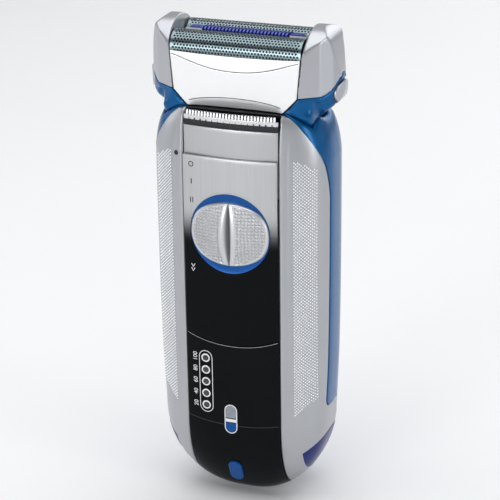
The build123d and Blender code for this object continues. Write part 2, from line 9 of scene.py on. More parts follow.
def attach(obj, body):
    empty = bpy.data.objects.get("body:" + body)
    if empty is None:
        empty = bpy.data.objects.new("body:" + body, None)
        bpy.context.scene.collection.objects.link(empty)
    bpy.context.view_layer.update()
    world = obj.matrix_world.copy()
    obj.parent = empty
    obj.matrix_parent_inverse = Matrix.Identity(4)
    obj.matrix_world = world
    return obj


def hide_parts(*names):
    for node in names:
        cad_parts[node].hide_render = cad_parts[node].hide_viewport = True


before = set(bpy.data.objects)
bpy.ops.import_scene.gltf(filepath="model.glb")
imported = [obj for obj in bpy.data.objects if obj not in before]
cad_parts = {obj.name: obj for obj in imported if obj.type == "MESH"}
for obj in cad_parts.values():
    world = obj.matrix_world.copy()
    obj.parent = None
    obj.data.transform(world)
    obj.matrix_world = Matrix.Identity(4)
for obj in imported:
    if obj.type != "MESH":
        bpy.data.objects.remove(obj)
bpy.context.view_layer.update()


SCENE = bpy.context.scene
SHIFT_Y = 0.9765          # mm, from the drawing frame to the row frame
NSE = 2.8                 # superellipse exponent of the handle


# ---------------------------------------------------------------------------
# mesh helpers, millimetres in the drawing frame
# ---------------------------------------------------------------------------
def to_m(p):
    q = np.array(p, float).reshape(-1, 3).copy()
    q[:, 1] += SHIFT_Y
    return q * 0.001


def new_mesh(name, verts, faces, material, body, rep=(), angle=38.0, mats=None, face_mat=None, smooth=True):
    me = bpy.data.meshes.new(name)
    me.from_pydata(to_m(verts).tolist(), [], [tuple(int(i) for i in f) for f in faces])
    bm = bmesh.new()
    bm.from_mesh(me)
    bmesh.ops.remove_doubles(bm, verts=bm.verts, dist=1e-7)
    bmesh.ops.recalc_face_normals(bm, faces=bm.faces)
    bm.to_mesh(me)
    bm.free()
    if mats:
        for m in mats:
            me.materials.append(m)
        if face_mat is not None and not callable(face_mat) and len(face_mat) == len(me.polygons):
            me.polygons.foreach_set("material_index", np.array(face_mat, np.int32))
        elif callable(face_mat):
            cen = np.zeros(len(me.polygons) * 3)
            me.polygons.foreach_get("center", cen)
            cen = cen.reshape(-1, 3) * 1000
            cen[:, 1] -= SHIFT_Y
            me.polygons.foreach_set("material_index", np.array(face_mat(cen), np.int32))
    else:
        me.materials.append(material)
    me.polygons.foreach_set("use_smooth", [smooth] * len(me.polygons))
    me.set_sharp_from_angle(angle=math.radians(angle))
    ob = bpy.data.objects.new(name, me)
    SCENE.collection.objects.link(ob)
    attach(ob, body)
    if rep:
        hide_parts(*rep)
    return ob


def grid_faces(nv, nu, off=0, flip=False, wrap=False):
    out = []
    last = nu if wrap else nu - 1
    for j in range(nv - 1):
        for i in range(last):
            a = off + j * nu + i
            b = off + j * nu + (i + 1) % nu
            c = off + (j + 1) * nu + (i + 1) % nu
            d = off + (j + 1) * nu + i
            out.append((a, d, c, b) if flip else (a, b, c, d))
    return out


def merge(parts):
    verts, faces, n = [], [], 0
    for v, f in parts:
        v = np.asarray(v, float).reshape(-1, 3)
        verts.append(v)
        faces += [tuple(i + n for i in q) for q in f]
        n += len(v)
    return np.vstack(verts), faces


def mirror_x(v, f):
    w = np.array(v, float).reshape(-1, 3).copy()
    w[:, 0] *= -1
    return w, [tuple(reversed(q)) for q in f]


def seg_dist(points, line):
    # distance from points to a polyline
    a, b = line[:-1], line[1:]
    d = b - a
    l2 = np.maximum((d * d).sum(1), 1e-12)
    out = np.full(len(points), 1e9)
    step = 2000
    for s in range(0, len(points), step):
        p = points[s:s + step]
        ap = p[:, None, :] - a[None]
        t = np.clip((ap * d[None]).sum(2) / l2[None], 0, 1)
        r = ap - t[..., None] * d[None]
        out[s:s + step] = np.sqrt((r * r).sum(2)).min(1)
    return out


def edge_steps(length, r, n):
    # places along 0..1 that crowd together within r of both ends
    e = np.array([0.0, 0.06, 0.22, 0.48, 1.0]) * r / length
    mid = np.linspace(e[-1], 1 - e[-1], n)[1:-1]
    return np.concatenate([e, mid, 1 - e[::-1]])


def slab(P, N, T, r=0.25, sides=(1, 1, 1, 1), inner=None, nearby=6):
    # closed plate from a grid of outer points: rounded rim of radius r, thickness T
    nv, nu = P.shape[:2]
    T = np.broadcast_to(np.asarray(T, float), (nv, nu))
    border = []
    if sides[0]:
        border.append(P[0])
    if sides[1]:
        border.append(P[-1])
    if sides[2]:
        border.append(P[:, 0])
    if sides[3]:
        border.append(P[:, -1])
    depth = np.zeros((nv, nu))
    near = np.zeros((nv, nu), bool)
    near[:nearby], near[-nearby:], near[:, :nearby], near[:, -nearby:] = True, True, True, True
    pts = P[near]
    d = np.full(len(pts), 1e9)
    for line in border:
        d = np.minimum(d, seg_dist(pts, np.asarray(line)))
    d = np.clip(d, 0, r)
    depth[near] = r - np.sqrt(np.maximum(r * r - (r - d) ** 2, 0))
    Q = P - N * depth[..., None]
    I = P - N * T[..., None] if inner is None else inner
    verts = np.vstack([Q.reshape(-1, 3), I.reshape(-1, 3)])
    n = nv * nu
    faces = grid_faces(nv, nu) + grid_faces(nv, nu, n, flip=True)
    for i in range(nu - 1):
        faces.append((i + 1, i, n + i, n + i + 1))
        k = (nv - 1) * nu + i
        faces.append((k, k + 1, n + k + 1, n + k))
    for j in range(nv - 1):
        k = j * nu
        faces.append((k, k + nu, n + k + nu, n + k))
        k = j * nu + nu - 1
        faces.append((k + nu, k, n + k, n + k + nu))
    return verts, faces


def tube_ring(cx, cz, y, R, r, nseg=36, nr=8, squash=1.0):
    v, f = [], []
    for i in range(nseg):
        a = 2 * math.pi * i / nseg
        for k in range(nr):
            b = 2 * math.pi * k / nr
            rr = R + r * math.cos(b)
            v.append((cx + rr * math.cos(a), y - squash * r * math.sin(b), cz + rr * math.sin(a)))
    for i in range(nseg):
        for k in range(nr):
            f.append((i * nr + k, i * nr + (k + 1) % nr, ((i + 1) % nseg) * nr + (k + 1) % nr, ((i + 1) % nseg) * nr + k))
    return np.array(v), f


def rounded_path_prism(outline, base_fn, normal, height, r=0.15, down=0.6, steps=4):
    # closed button from a closed outline of points on a surface, raised along the normal with a rounded rim
    O = np.asarray(outline, float)
    c = O.mean(0)
    n = np.asarray(normal, float)
    rings = []
    rings.append(O - n * down)
    for k in range(steps + 1):
        a = math.pi / 2 * k / steps
        inset = r * (1 - math.cos(a))
        h = height - r + r * math.sin(a)
        d = O - c
        L = np.linalg.norm(d, axis=1, keepdims=True)
        rings.append(c + d * (L - inset) / L + n * h)
    for s in (0.66, 0.33):
        rings.append(c + (rings[steps + 1] - n * height - c) * s + n * height)
    m = len(O)
    v = np.vstack(rings + [[c + n * height], [c - n * down]])
    f = []
    for j in range(len(rings) - 1):
        for i in range(m):
            f.append((j * m + i, j * m + (i + 1) % m, (j + 1) * m + (i + 1) % m, (j + 1) * m + i))
    top = len(rings) * m
    for i in range(m):
        f.append(((len(rings) - 1) * m + i, (len(rings) - 1) * m + (i + 1) % m, top))
        f.append(((i + 1) % m, i, top + 1))
    return v, f


def box_mesh(x0, x1, y0, y1, z0, z1, r=0.1):
    # box with chamfered edges
    v, f = [], []
    bm = bmesh.new()
    bmesh.ops.create_cube(bm, size=1.0)
    for q in bm.verts:
        q.co = Vector(((x0 + x1) / 2 + q.co.x * (x1 - x0), (y0 + y1) / 2 + q.co.y * (y1 - y0), (z0 + z1) / 2 + q.co.z * (z1 - z0)))
    if r > 0:
        bmesh.ops.bevel(bm, geom=list(bm.edges), offset=r, segments=2, profile=0.5, affect="EDGES")
    bm.verts.ensure_lookup_table()
    bm.verts.index_update()
    v = np.array([list(q.co) for q in bm.verts])
    f = [tuple(w.index for w in q.verts) for q in bm.faces]
    bm.free()
    return v, f


# ---------------------------------------------------------------------------
# materials
# ---------------------------------------------------------------------------
def material(name, color, metallic=0.0, rough=0.4, coat=0.0, coat_rough=0.08, var=0.06, scale=90.0, rvar=0.05,
             bump=0.0, bump_scale=2500.0, stretch=(1, 1, 1), spec=0.5, transmission=0.0, ior=1.45, detail=3.0, emit=None):
    m = bpy.data.materials.new(name)
    m.use_nodes = True
    nt = m.node_tree
    b = nt.nodes["Principled BSDF"]
    tc = nt.nodes.new("ShaderNodeTexCoord")
    mp = nt.nodes.new("ShaderNodeMapping")
    mp.inputs["Scale"].default_value = stretch
    nt.links.new(tc.outputs["Object"], mp.inputs["Vector"])
    n1 = nt.nodes.new("ShaderNodeTexNoise")
    n1.inputs["Scale"].default_value = scale
    n1.inputs["Detail"].default_value = detail
    nt.links.new(mp.outputs["Vector"], n1.inputs["Vector"])
    cr = nt.nodes.new("ShaderNodeValToRGB")
    c = np.array(color[:3])
    cr.color_ramp.elements[0].position = 0.3
    cr.color_ramp.elements[1].position = 0.7
    cr.color_ramp.elements[0].color = (*np.clip(c * (1 - var), 0, 1), 1)
    cr.color_ramp.elements[1].color = (*np.clip(c * (1 + var), 0, 1), 1)
    nt.links.new(n1.outputs["Fac"], cr.inputs["Fac"])
    nt.links.new(cr.outputs["Color"], b.inputs["Base Color"])
    n2 = nt.nodes.new("ShaderNodeTexNoise")
    n2.inputs["Scale"].default_value = scale * 3.1
    n2.inputs["Detail"].default_value = 4.0
    nt.links.new(mp.outputs["Vector"], n2.inputs["Vector"])
    mr = nt.nodes.new("ShaderNodeMapRange")
    mr.inputs["To Min"].default_value = max(0.02, rough - rvar)
    mr.inputs["To Max"].default_value = rough + rvar
    nt.links.new(n2.outputs["Fac"], mr.inputs["Value"])
    nt.links.new(mr.outputs["Result"], b.inputs["Roughness"])
    b.inputs["Metallic"].default_value = metallic
    b.inputs["Coat Weight"].default_value = coat
    b.inputs["Coat Roughness"].default_value = coat_rough
    b.inputs["Specular IOR Level"].default_value = spec
    b.inputs["IOR"].default_value = ior
    if transmission:
        b.inputs["Transmission Weight"].default_value = transmission
    if bump > 0:
        n3 = nt.nodes.new("ShaderNodeTexNoise")
        n3.inputs["Scale"].default_value = bump_scale
        n3.inputs["Detail"].default_value = 2.0
        nt.links.new(mp.outputs["Vector"], n3.inputs["Vector"])
        bp = nt.nodes.new("ShaderNodeBump")
        bp.inputs["Strength"].default_value = bump
        bp.inputs["Distance"].default_value = 0.0001
        nt.links.new(n3.outputs["Fac"], bp.inputs["Height"])
        nt.links.new(bp.outputs["Normal"], b.inputs["Normal"])
    return m


M = {}
M["silver"] = material("silver_shell_paint", (0.43, 0.44, 0.46), metallic=0.8, rough=0.36, coat=0.12, coat_rough=0.2, var=0.02,
                       scale=90, rvar=0.015, bump=0.03, bump_scale=9000)
# painted highlight: the dots are the shell's silver, coloured lighter to stand in for the light on their tops
M["dots"] = material("grip_dots_painted_highlight", (0.92, 0.93, 0.95), metallic=0.6, rough=0.32, var=0.03, scale=90, rvar=0.01)
M["blue"] = material("blue_gloss_paint", (0.0, 0.088, 0.255), metallic=0.45, rough=0.26, coat=0.18, coat_rough=0.08, var=0.05,
                     scale=70, rvar=0.015, bump=0.02, bump_scale=12000, spec=0.2)
M["inlay"] = material("violet_inlay_gloss", (0.012, 0.020, 0.145), metallic=0.3, rough=0.28, coat=0.15, var=0.05, scale=80, spec=0.2, rvar=0.015)
M["black"] = material("black_gloss", (0.006, 0.007, 0.009), rough=0.16, coat=0.15, coat_rough=0.05, var=0.15, scale=80, spec=0.3, rvar=0.01)
M["panel"] = material("black_gloss_panel", (0.0035, 0.0045, 0.0055), rough=0.17, coat=0.03, coat_rough=0.04, var=0.12, scale=60, spec=0.06, rvar=0.008)
M["satin_black"] = material("black_satin", (0.010, 0.011, 0.013), rough=0.42, var=0.15, scale=500, bump=0.15, bump_scale=6000)
M["cover"] = material("brushed_cover", (0.47, 0.48, 0.49), metallic=0.85, rough=0.31, var=0.025, scale=2600, stretch=(1, 1, 0.012),
                      bump=0.03, bump_scale=5000, rvar=0.02)
M["chrome"] = material("bright_silver_plate", (0.89, 0.895, 0.905), metallic=0.45, rough=0.25, coat=0.1, var=0.008, scale=50, rvar=0.008)
M["arm"] = material("silver_arm_lacquer", (0.45, 0.46, 0.49), metallic=0.8, rough=0.31, coat=0.15, coat_rough=0.15, var=0.02, scale=80, rvar=0.015)
M["knob"] = material("silver_knob", (0.62, 0.625, 0.64), metallic=0.7, rough=0.30, var=0.02, scale=90, rvar=0.01)
M["tooth"] = material("comb_tooth_steel", (0.66, 0.67, 0.69), metallic=0.6, rough=0.3, var=0.04, scale=200, rvar=0.02)
# painted highlight: a lighter line along the panel's crease that stands in for the light it catches
M["crease"] = material("panel_crease_painted_highlight", (0.022, 0.030, 0.038), rough=0.3, var=0.1, scale=90, spec=0.3)
# painted shade: a dark line that stands in for the shade in the plate's grooves
M["line"] = material("groove_painted_shade_line", (0.10, 0.105, 0.115), rough=0.4, var=0.05, scale=90, spec=0.2)
# painted highlight: a light line that stands in for the light caught by the panel's top rim
M["bright"] = material("rim_painted_highlight_line", (0.42, 0.44, 0.47), metallic=0.6, rough=0.3, var=0.03, scale=90, rvar=0.01)
M["foil"] = material("foil_steel", (0.20, 0.26, 0.28), metallic=1.0, rough=0.24, var=0.06, scale=400, rvar=0.02)
# painted shade: the cutter steel is coloured near-black for the shade under the foils
M["cutter"] = material("cutter_steel_painted_shade", (0.020, 0.030, 0.036), metallic=0.6, rough=0.45, var=0.2, scale=500)
M["steel"] = material("ground_steel", (0.50, 0.51, 0.52), metallic=1.0, rough=0.30, var=0.06, scale=1200, stretch=(1, 1, 0.1))
M["violet"] = material("violet_comb_steel", (0.10, 0.125, 0.46), metallic=0.7, rough=0.28, var=0.06, scale=300)
M["rubber"] = material("black_rubber", (0.018, 0.019, 0.022), rough=0.62, var=0.15, scale=600, bump=0.3, bump_scale=7000)
M["copper"] = material("plated_contact", (0.72, 0.54, 0.30), metallic=1.0, rough=0.25, var=0.06, scale=900)
M["white"] = material("white_print", (0.82, 0.83, 0.85), rough=0.45, var=0.03, scale=900)
M["lens"] = material("clear_lens", (0.25, 0.28, 0.31), rough=0.12, coat=0.5, var=0.10, scale=900)
M["dark_dish"] = material("dark_lens", (0.02, 0.024, 0.03), rough=0.10, coat=0.7, var=0.10, scale=900)
M["blue_bright"] = material("blue_button", (0.0, 0.075, 0.30), metallic=0.4, rough=0.18, coat=0.2, coat_rough=0.04, var=0.06, scale=90, spec=0.25, rvar=0.01)
M["board"] = material("lacquered_board", (0.02, 0.16, 0.07), rough=0.3, coat=0.3, var=0.3, scale=500)
M["cell"] = material("cell_wrap", (0.08, 0.25, 0.10), rough=0.25, coat=0.3, var=0.1, scale=200)
M["white_plastic"] = material("white_moulding", (0.80, 0.80, 0.78), rough=0.45, var=0.04, scale=200, bump=0.05)
M["grey_plastic"] = material("grey_moulding", (0.28, 0.29, 0.31), rough=0.42, var=0.08, scale=300, bump=0.08)
M["socket"] = material("socket_moulding", (0.015, 0.016, 0.018), rough=0.5, var=0.15, scale=400, bump=0.1)

# painted shade: the knob's spindle groove is coloured a darker grey than its wings, darkest down its deepest middle
def add_groove_painted_shade(m):
    nt = m.node_tree
    b = nt.nodes["Principled BSDF"]
    src = b.inputs["Base Color"].links[0].from_socket

    def op(kind, a, c=None):
        n = nt.nodes.new("ShaderNodeMath")
        n.operation = kind
        for k, q in enumerate((a, c)):
            if q is None:
                continue
            if isinstance(q, (int, float)):
                n.inputs[k].default_value = q
            else:
                nt.links.new(q, n.inputs[k])
        return n.outputs[0]

    tc = nt.nodes.new("ShaderNodeTexCoord")
    sp = nt.nodes.new("ShaderNodeSeparateXYZ")
    nt.links.new(tc.outputs["Object"], sp.inputs[0])
    zq = op("DIVIDE", op("SUBTRACT", op("MULTIPLY", sp.outputs["Z"], 1000.0), 95.5), 10.6)
    w = op("ADD", op("MULTIPLY", op("POWER", op("MAXIMUM", op("SUBTRACT", 1.0, op("MULTIPLY", zq, zq)), 0.0), 0.9), 1.40), 0.12)
    t = op("DIVIDE", op("ABSOLUTE", op("MULTIPLY", sp.outputs["X"], 1000.0)), w)
    mr = nt.nodes.new("ShaderNodeMapRange")
    mr.interpolation_type = "SMOOTHSTEP"
    mr.inputs["From Min"].default_value = 0.15
    mr.inputs["From Max"].default_value = 1.0
    nt.links.new(t, mr.inputs["Value"])
    mx = nt.nodes.new("ShaderNodeMix")
    mx.data_type = "RGBA"
    # painted shade colour for the middle of the groove
    mx.inputs[6].default_value = (0.12, 0.125, 0.135, 1)
    nt.links.new(mr.outputs["Result"], mx.inputs[0])
    nt.links.new(src, mx.inputs[7])
    nt.links.new(mx.outputs[2], b.inputs["Base Color"])


add_groove_painted_shade(M["knob"])

# brushed metal at the top that fades to gloss black at the bottom, as printed on the plate
fade = bpy.data.materials.new("fading_brushed_plate")
fade.use_nodes = True
_nt = fade.node_tree
_b = _nt.nodes["Principled BSDF"]
_tc = _nt.nodes.new("ShaderNodeTexCoord")
_sep = _nt.nodes.new("ShaderNodeSeparateXYZ")
_nt.links.new(_tc.outputs["Object"], _sep.inputs[0])
_mr = _nt.nodes.new("ShaderNodeMapRange")
_mr.interpolation_type = "SMOOTHERSTEP"
_mr.inputs["From Min"].default_value = 0.0905
_mr.inputs["From Max"].default_value = 0.1050
_nt.links.new(_sep.outputs["Z"], _mr.inputs["Value"])
_mp = _nt.nodes.new("ShaderNodeMapping")
_mp.inputs["Scale"].default_value = (1, 1, 0.012)
_nt.links.new(_tc.outputs["Object"], _mp.inputs["Vector"])
_ns = _nt.nodes.new("ShaderNodeTexNoise")
_ns.inputs["Scale"].default_value = 2600
_nt.links.new(_mp.outputs["Vector"], _ns.inputs["Vector"])
_cr = _nt.nodes.new("ShaderNodeValToRGB")
_cr.color_ramp.elements[0].position = 0.3
_cr.color_ramp.elements[1].position = 0.7
_cr.color_ramp.elements[0].color = (0.48, 0.49, 0.50, 1)
_cr.color_ramp.elements[1].color = (0.52, 0.53, 0.54, 1)
_b.inputs["Specular IOR Level"].default_value = 0.06
_nt.links.new(_ns.outputs["Fac"], _cr.inputs["Fac"])
_mx = _nt.nodes.new("ShaderNodeMix")
_mx.data_type = "RGBA"
_mx.inputs[6].default_value = (0.0035, 0.0045, 0.0055, 1)
_nt.links.new(_mr.outputs["Result"], _mx.inputs[0])
_nt.links.new(_cr.outputs["Color"], _mx.inputs[7])
_nt.links.new(_mx.outputs[2], _b.inputs["Base Color"])
_mm = _nt.nodes.new("ShaderNodeMath")
_mm.operation = "MULTIPLY"
_mm.inputs[1].default_value = 0.9
_nt.links.new(_mr.outputs["Result"], _mm.inputs[0])
_nt.links.new(_mm.outputs[0], _b.inputs["Metallic"])
_rr = _nt.nodes.new("ShaderNodeMapRange")
_rr.inputs["To Min"].default_value = 0.17
_rr.inputs["To Max"].default_value = 0.31
_nt.links.new(_mr.outputs["Result"], _rr.inputs["Value"])
_nt.links.new(_rr.outputs["Result"], _b.inputs["Roughness"])
M["fade"] = fade


# ---------------------------------------------------------------------------
# the handle's surface
# ---------------------------------------------------------------------------
BZ = np.array([29, 53, 118, 121.5, 125, 130, 133.5, 135.0])
BW = np.array([28.1, 29.0, 29.4, 29.1, 28.5, 26.7, 24.0, 21.5])
BD = np.array([18.5, 18.6, 18.4, 18.3, 18.1, 17.7, 17.1, 16.4])


def hermite(z, X, Y, slopes):
    z = np.asarray(z, float)
    i = np.clip(np.searchsorted(X, z, side="right") - 1, 0, len(X) - 2)
    h = X[i + 1] - X[i]
    t = np.clip((z - X[i]) / h, 0, 1)
    return ((2 * t**3 - 3 * t**2 + 1) * Y[i] + (t**3 - 2 * t**2 + t) * h * slopes[i]
            + (-2 * t**3 + 3 * t**2) * Y[i + 1] + (t**3 - t**2) * h * slopes[i + 1])


SW = np.array([0.030, 0.020, 0.0, -0.12, -0.23, -0.53, -1.15, -2.2])
SD = np.array([0.004, 0.0, -0.01, -0.04, -0.07, -0.12, -0.28, -0.60])


def half(z):
    z = np.asarray(z, float)
    k = np.sqrt(np.clip(1 - ((29 - np.minimum(z, 29)) / 30.2) ** 2, 1e-9, 1))
    zz = np.maximum(z, 29)
    return hermite(zz, BZ, BW, SW) * k, hermite(zz, BZ, BD, SD) * k


def pol(phi, z):
    w, d = half(z)
    c, s = np.cos(phi), np.sin(phi)
    r = (np.abs(c / w) ** NSE + np.abs(s / d) ** NSE) ** (-1 / NSE)
    return np.stack([r * c, r * s, np.broadcast_to(z, np.shape(r))], -1)


def implicit(P):
    x, y, z = P[..., 0], P[..., 1], P[..., 2]
    zz = np.maximum(z, 29)
    w, d = hermite(zz, BZ, BW, SW), hermite(zz, BZ, BD, SD)
    k2 = (np.abs(x / w) ** NSE + np.abs(y / d) ** NSE) ** (2 / NSE)
    return k2 + (np.minimum(z - 29, 0) / 30.2) ** 2 - 1


def normal(P):
    e = 0.02
    g = []
    for a in range(3):
        d = np.zeros(3)
        d[a] = e
        g.append(implicit(P + d) - implicit(P - d))
    N = np.stack(g, -1)
    return N / np.maximum(np.linalg.norm(N, axis=-1, keepdims=True), 1e-12)


def phi_of_x(x, z, front=True):
    # angle of the point with that X on the front (or back)
    w, d = half(z)
    q = np.clip(1 - np.abs(x / w) ** NSE, 1e-6, 1)
    y = d * q ** (1 / NSE)
    return np.arctan2(-y if front else y, x)


def phi_of_y(y, z):
    # angle of the point with that Y on the right side
    w, d = half(z)
    q = np.clip(1 - np.abs(y / d) ** NSE, 1e-6, 1)
    return np.arctan2(y, w * q ** (1 / NSE))


def dome_at(x, psi):
    # point in the plane X = x at angle psi below the front direction, about (Y 0, Z 29)
    c, s = np.cos(psi), np.sin(psi)
    lo = np.zeros(np.shape(x * psi))
    hi = np.full(np.shape(x * psi), 1.2)
    for _ in range(40):
        r = (lo + hi) / 2
        val = (np.abs(x / 28.1) ** NSE + np.abs(r * c) ** NSE) ** (2 / NSE) + (r * s) ** 2 - 1
        hi = np.where(val > 0, r, hi)
        lo = np.where(val > 0, lo, r)
    r = (lo + hi) / 2
    z = 29 - 30.2 * r * s
    return np.stack([np.broadcast_to(x, z.shape), -18.5 * r * c, np.maximum(z, 0.0)], -1)


def polyline(points, n):
    # n even places along a run of points
    p = np.asarray(points, float)
    s = np.concatenate([[0], np.cumsum(np.linalg.norm(np.diff(p, axis=0), axis=1))])
    t = np.linspace(0, s[-1], n)
    return np.stack([np.interp(t, s, p[:, k]) for k in range(p.shape[1])], -1)


def arc2(c, r, a0, a1, n=9):
    a = np.radians(np.linspace(a0, a1, n))
    return [(c[0] + r * math.cos(t), c[1] + r * math.sin(t)) for t in a]


# parting line between the silver and the blue shells, as (Y, Z)
corner_path = arc2((4.5, 30.5), 3.0, 0, 90) + arc2((-2.6, 36.5), 3.0, 270, 180)
corner_path = polyline(corner_path, 34)
SPL_Z = np.array([106, 115, 120.7, 126.0, 130.0, 136.0])
SPL_Y = np.array([-5.6, -7.2, -9.2, -11.2, -12.6, -13.3])
SPL_S = np.array([0.0, -0.27, -0.37, -0.38, -0.26, -0.05])
upper_z = np.linspace(106, 134.7, 34)
upper = np.stack([hermite(upper_z, SPL_Z, SPL_Y, SPL_S), upper_z], -1)
GAP = 0.04                # half the seam between the shells

XE = 15.92                # where the cheeks meet the front strip
# outer border (Y, Z) and the matching heights on the inner border
b0z = np.concatenate([[5.73, 5.9, 6.2], np.linspace(6.8, 30.5, 28)])
seg0 = np.stack([np.full(len(b0z), 7.5), b0z], -1)
seg2z = np.linspace(36.5, 106, 36)[1:]
seg2 = np.stack([np.full(len(seg2z), -5.6), seg2z], -1)
outer_line = np.vstack([seg0, corner_path[1:], seg2, upper[1:]])
n0, n1, n2, n3 = len(seg0), len(corner_path) - 1, len(seg2), len(upper) - 1


def cheek_border_in():
    # inner border at X = XE: from the back of the bottom, under it, and up the front
    P = np.zeros((len(outer_line), 3))
    psi_end = math.radians(6.0)
    start = math.pi - math.atan2(29 - 5.73, 7.5)
    # angle below the front direction for a point at the back of the bottom
    psi0 = math.pi - math.atan2((29 - 5.73) / 30.2, 7.5 / 18.5)
    psis = psi0 + (psi_end - psi0) * (np.linspace(0, 1, n0) ** 1.0)
    P[:n0] = dome_at(XE, psis)
    z_last = P[n0 - 1, 2]
    zz = np.concatenate([np.linspace(z_last, 42, n1 + 1)[1:], np.linspace(42, 106, n2 + 1)[1:], np.linspace(106, 134.7, n3 + 1)[1:]])
    for k, z in enumerate(zz):
        ph = phi_of_x(XE, z)
        P[n0 + k] = pol(ph, z)
    return P


def cheek_relief(P):
    # shallow pinch beside the strip and a soft ridge along the textured field
    x, z = np.abs(P[..., 0]), P[..., 2]
    w = np.clip((z - 22) / 14, 0, 1) * np.clip((131 - z) / 8, 0, 1)
    d = (x - 18.3) / 0.42
    return 0.16 * np.exp(-d * d) * w


def cheek():
    Pin = cheek_border_in()
    outer = outer_line.copy()
    phi_o = phi_of_y(outer[:, 0] - GAP, outer[:, 1])
    phi_i = np.arctan2(Pin[:, 1], Pin[:, 0])
    z_i, z_o = Pin[:, 2], outer[:, 1]
    s = edge_steps(16.0, 0.75, 46)
    PH = phi_i[:, None] + (phi_o - phi_i)[:, None] * s[None]
    Z = z_i[:, None] + (z_o - z_i)[:, None] * s[None]
    P = pol(PH, Z)
    P[:, 0] = np.where(np.isfinite(P[:, 0]), P[:, 0], Pin)
    N = normal(P)
    P = P - N * cheek_relief(P)[..., None]
    inner = P - N * 1.6
    return slab(P, N, 1.6, r=0.70, inner=inner)


cv, cf = cheek()
cheeks = merge([(cv, cf), mirror_x(cv, cf)])
front_shell = new_mesh("front_shell_cheeks", cheeks[0], cheeks[1], M["silver"], "root", rep=("front_shell",))

# the bottom of the front shell, round the charging socket
def bottom_z(x, y):
    k2 = (np.abs(x / 28.1) ** NSE + np.abs(y / 18.5) ** NSE) ** (2 / NSE)
    return np.where(k2 < 0.0779, 0.0, 29 - 30.2 * np.sqrt(np.clip(1 - k2, 0, 1)))


def slot_outline(half_len, r, n):
    # obround outline in X and Y, n points by angle
    a = np.linspace(0, 2 * math.pi, n, endpoint=False)
    out = []
    c = half_len - r
    for t in a:
        dx, dy = math.cos(t), math.sin(t)
        lo, hi = 0, half_len + 1
        for _ in range(40):
            m = (lo + hi) / 2
            x, y = m * dx, m * dy
            q = math.hypot(max(abs(x) - c, 0), y)
            if q > r:
                hi = m
            else:
                lo = m
        out.append((lo * dx, lo * dy))
    return np.array(out)


def bottom_plate():
    n = 96
    inner = slot_outline(7.5 + 0.05, 4.8 + 0.05, n)
    a = np.linspace(0, 2 * math.pi, n, endpoint=False)
    x1, y0, y1 = 15.84, -6.15, 7.42
    outer = []
    for t in a:
        dx, dy = math.cos(t), math.sin(t)
        m = 1e9
        if abs(dx) > 1e-9:
            m = min(m, x1 / abs(dx))
        if dy > 1e-9:
            m = min(m, y1 / dy)
        if dy < -1e-9:
            m = min(m, y0 / dy)
        outer.append((m * dx, m * dy))
    outer = np.array(outer)
    s = edge_steps(6.0, 0.2, 9)
    xy = inner[None] + (outer - inner)[None] * s[:, None, None]
    P = np.concatenate([xy, bottom_z(xy[..., 0], xy[..., 1])[..., None]], -1)
    P = np.concatenate([P, P[:, :1]], 1)
    N = np.zeros_like(P)
    N[..., 2] = -1
    N[..., 0] = P[..., 0] / 40
    N /= np.linalg.norm(N, axis=-1, keepdims=True)
    return slab(P, N, 1.6, r=0.15, sides=(1, 1, 0, 0))


bv, bf = bottom_plate()
new_mesh("front_shell_base", bv, bf, M["silver"], "root", rep=("front_shell",))


# blue rear shell
def in_cut(P):
    r = np.hypot(P[..., 1], P[..., 2] - 139.5)
    return ((r < 13.75) & (np.abs(P[..., 0]) < 24.95)) | (r < 8.35)


def clear_of_drum(Q):
    # pushes points of the wall's inner face out of the drum's path
    Q = Q.copy()
    r = np.hypot(Q[..., 1], Q[..., 2] - 139.5)
    side = np.clip((23.6 - np.abs(Q[..., 0])) / 1.2, 0, 1)
    k = np.where(r < 13.74, 1 + (13.74 / np.maximum(r, 1e-6) - 1) * side, 1.0)
    k = np.where(r * k < 8.42, 8.42 / np.maximum(r, 1e-6), k)
    Q[..., 1] = Q[..., 1] * k
    Q[..., 2] = 139.5 + (Q[..., 2] - 139.5) * k
    return Q


def z_top(phi):
    zz = np.linspace(118, 134.9, 340)
    PH, Z = np.meshgrid(phi.ravel(), zz, indexing="ij")
    cut = in_cut(pol(PH, Z))
    first = np.where(cut.any(1), cut.argmax(1), len(zz) - 1)
    return zz[first].reshape(phi.shape)


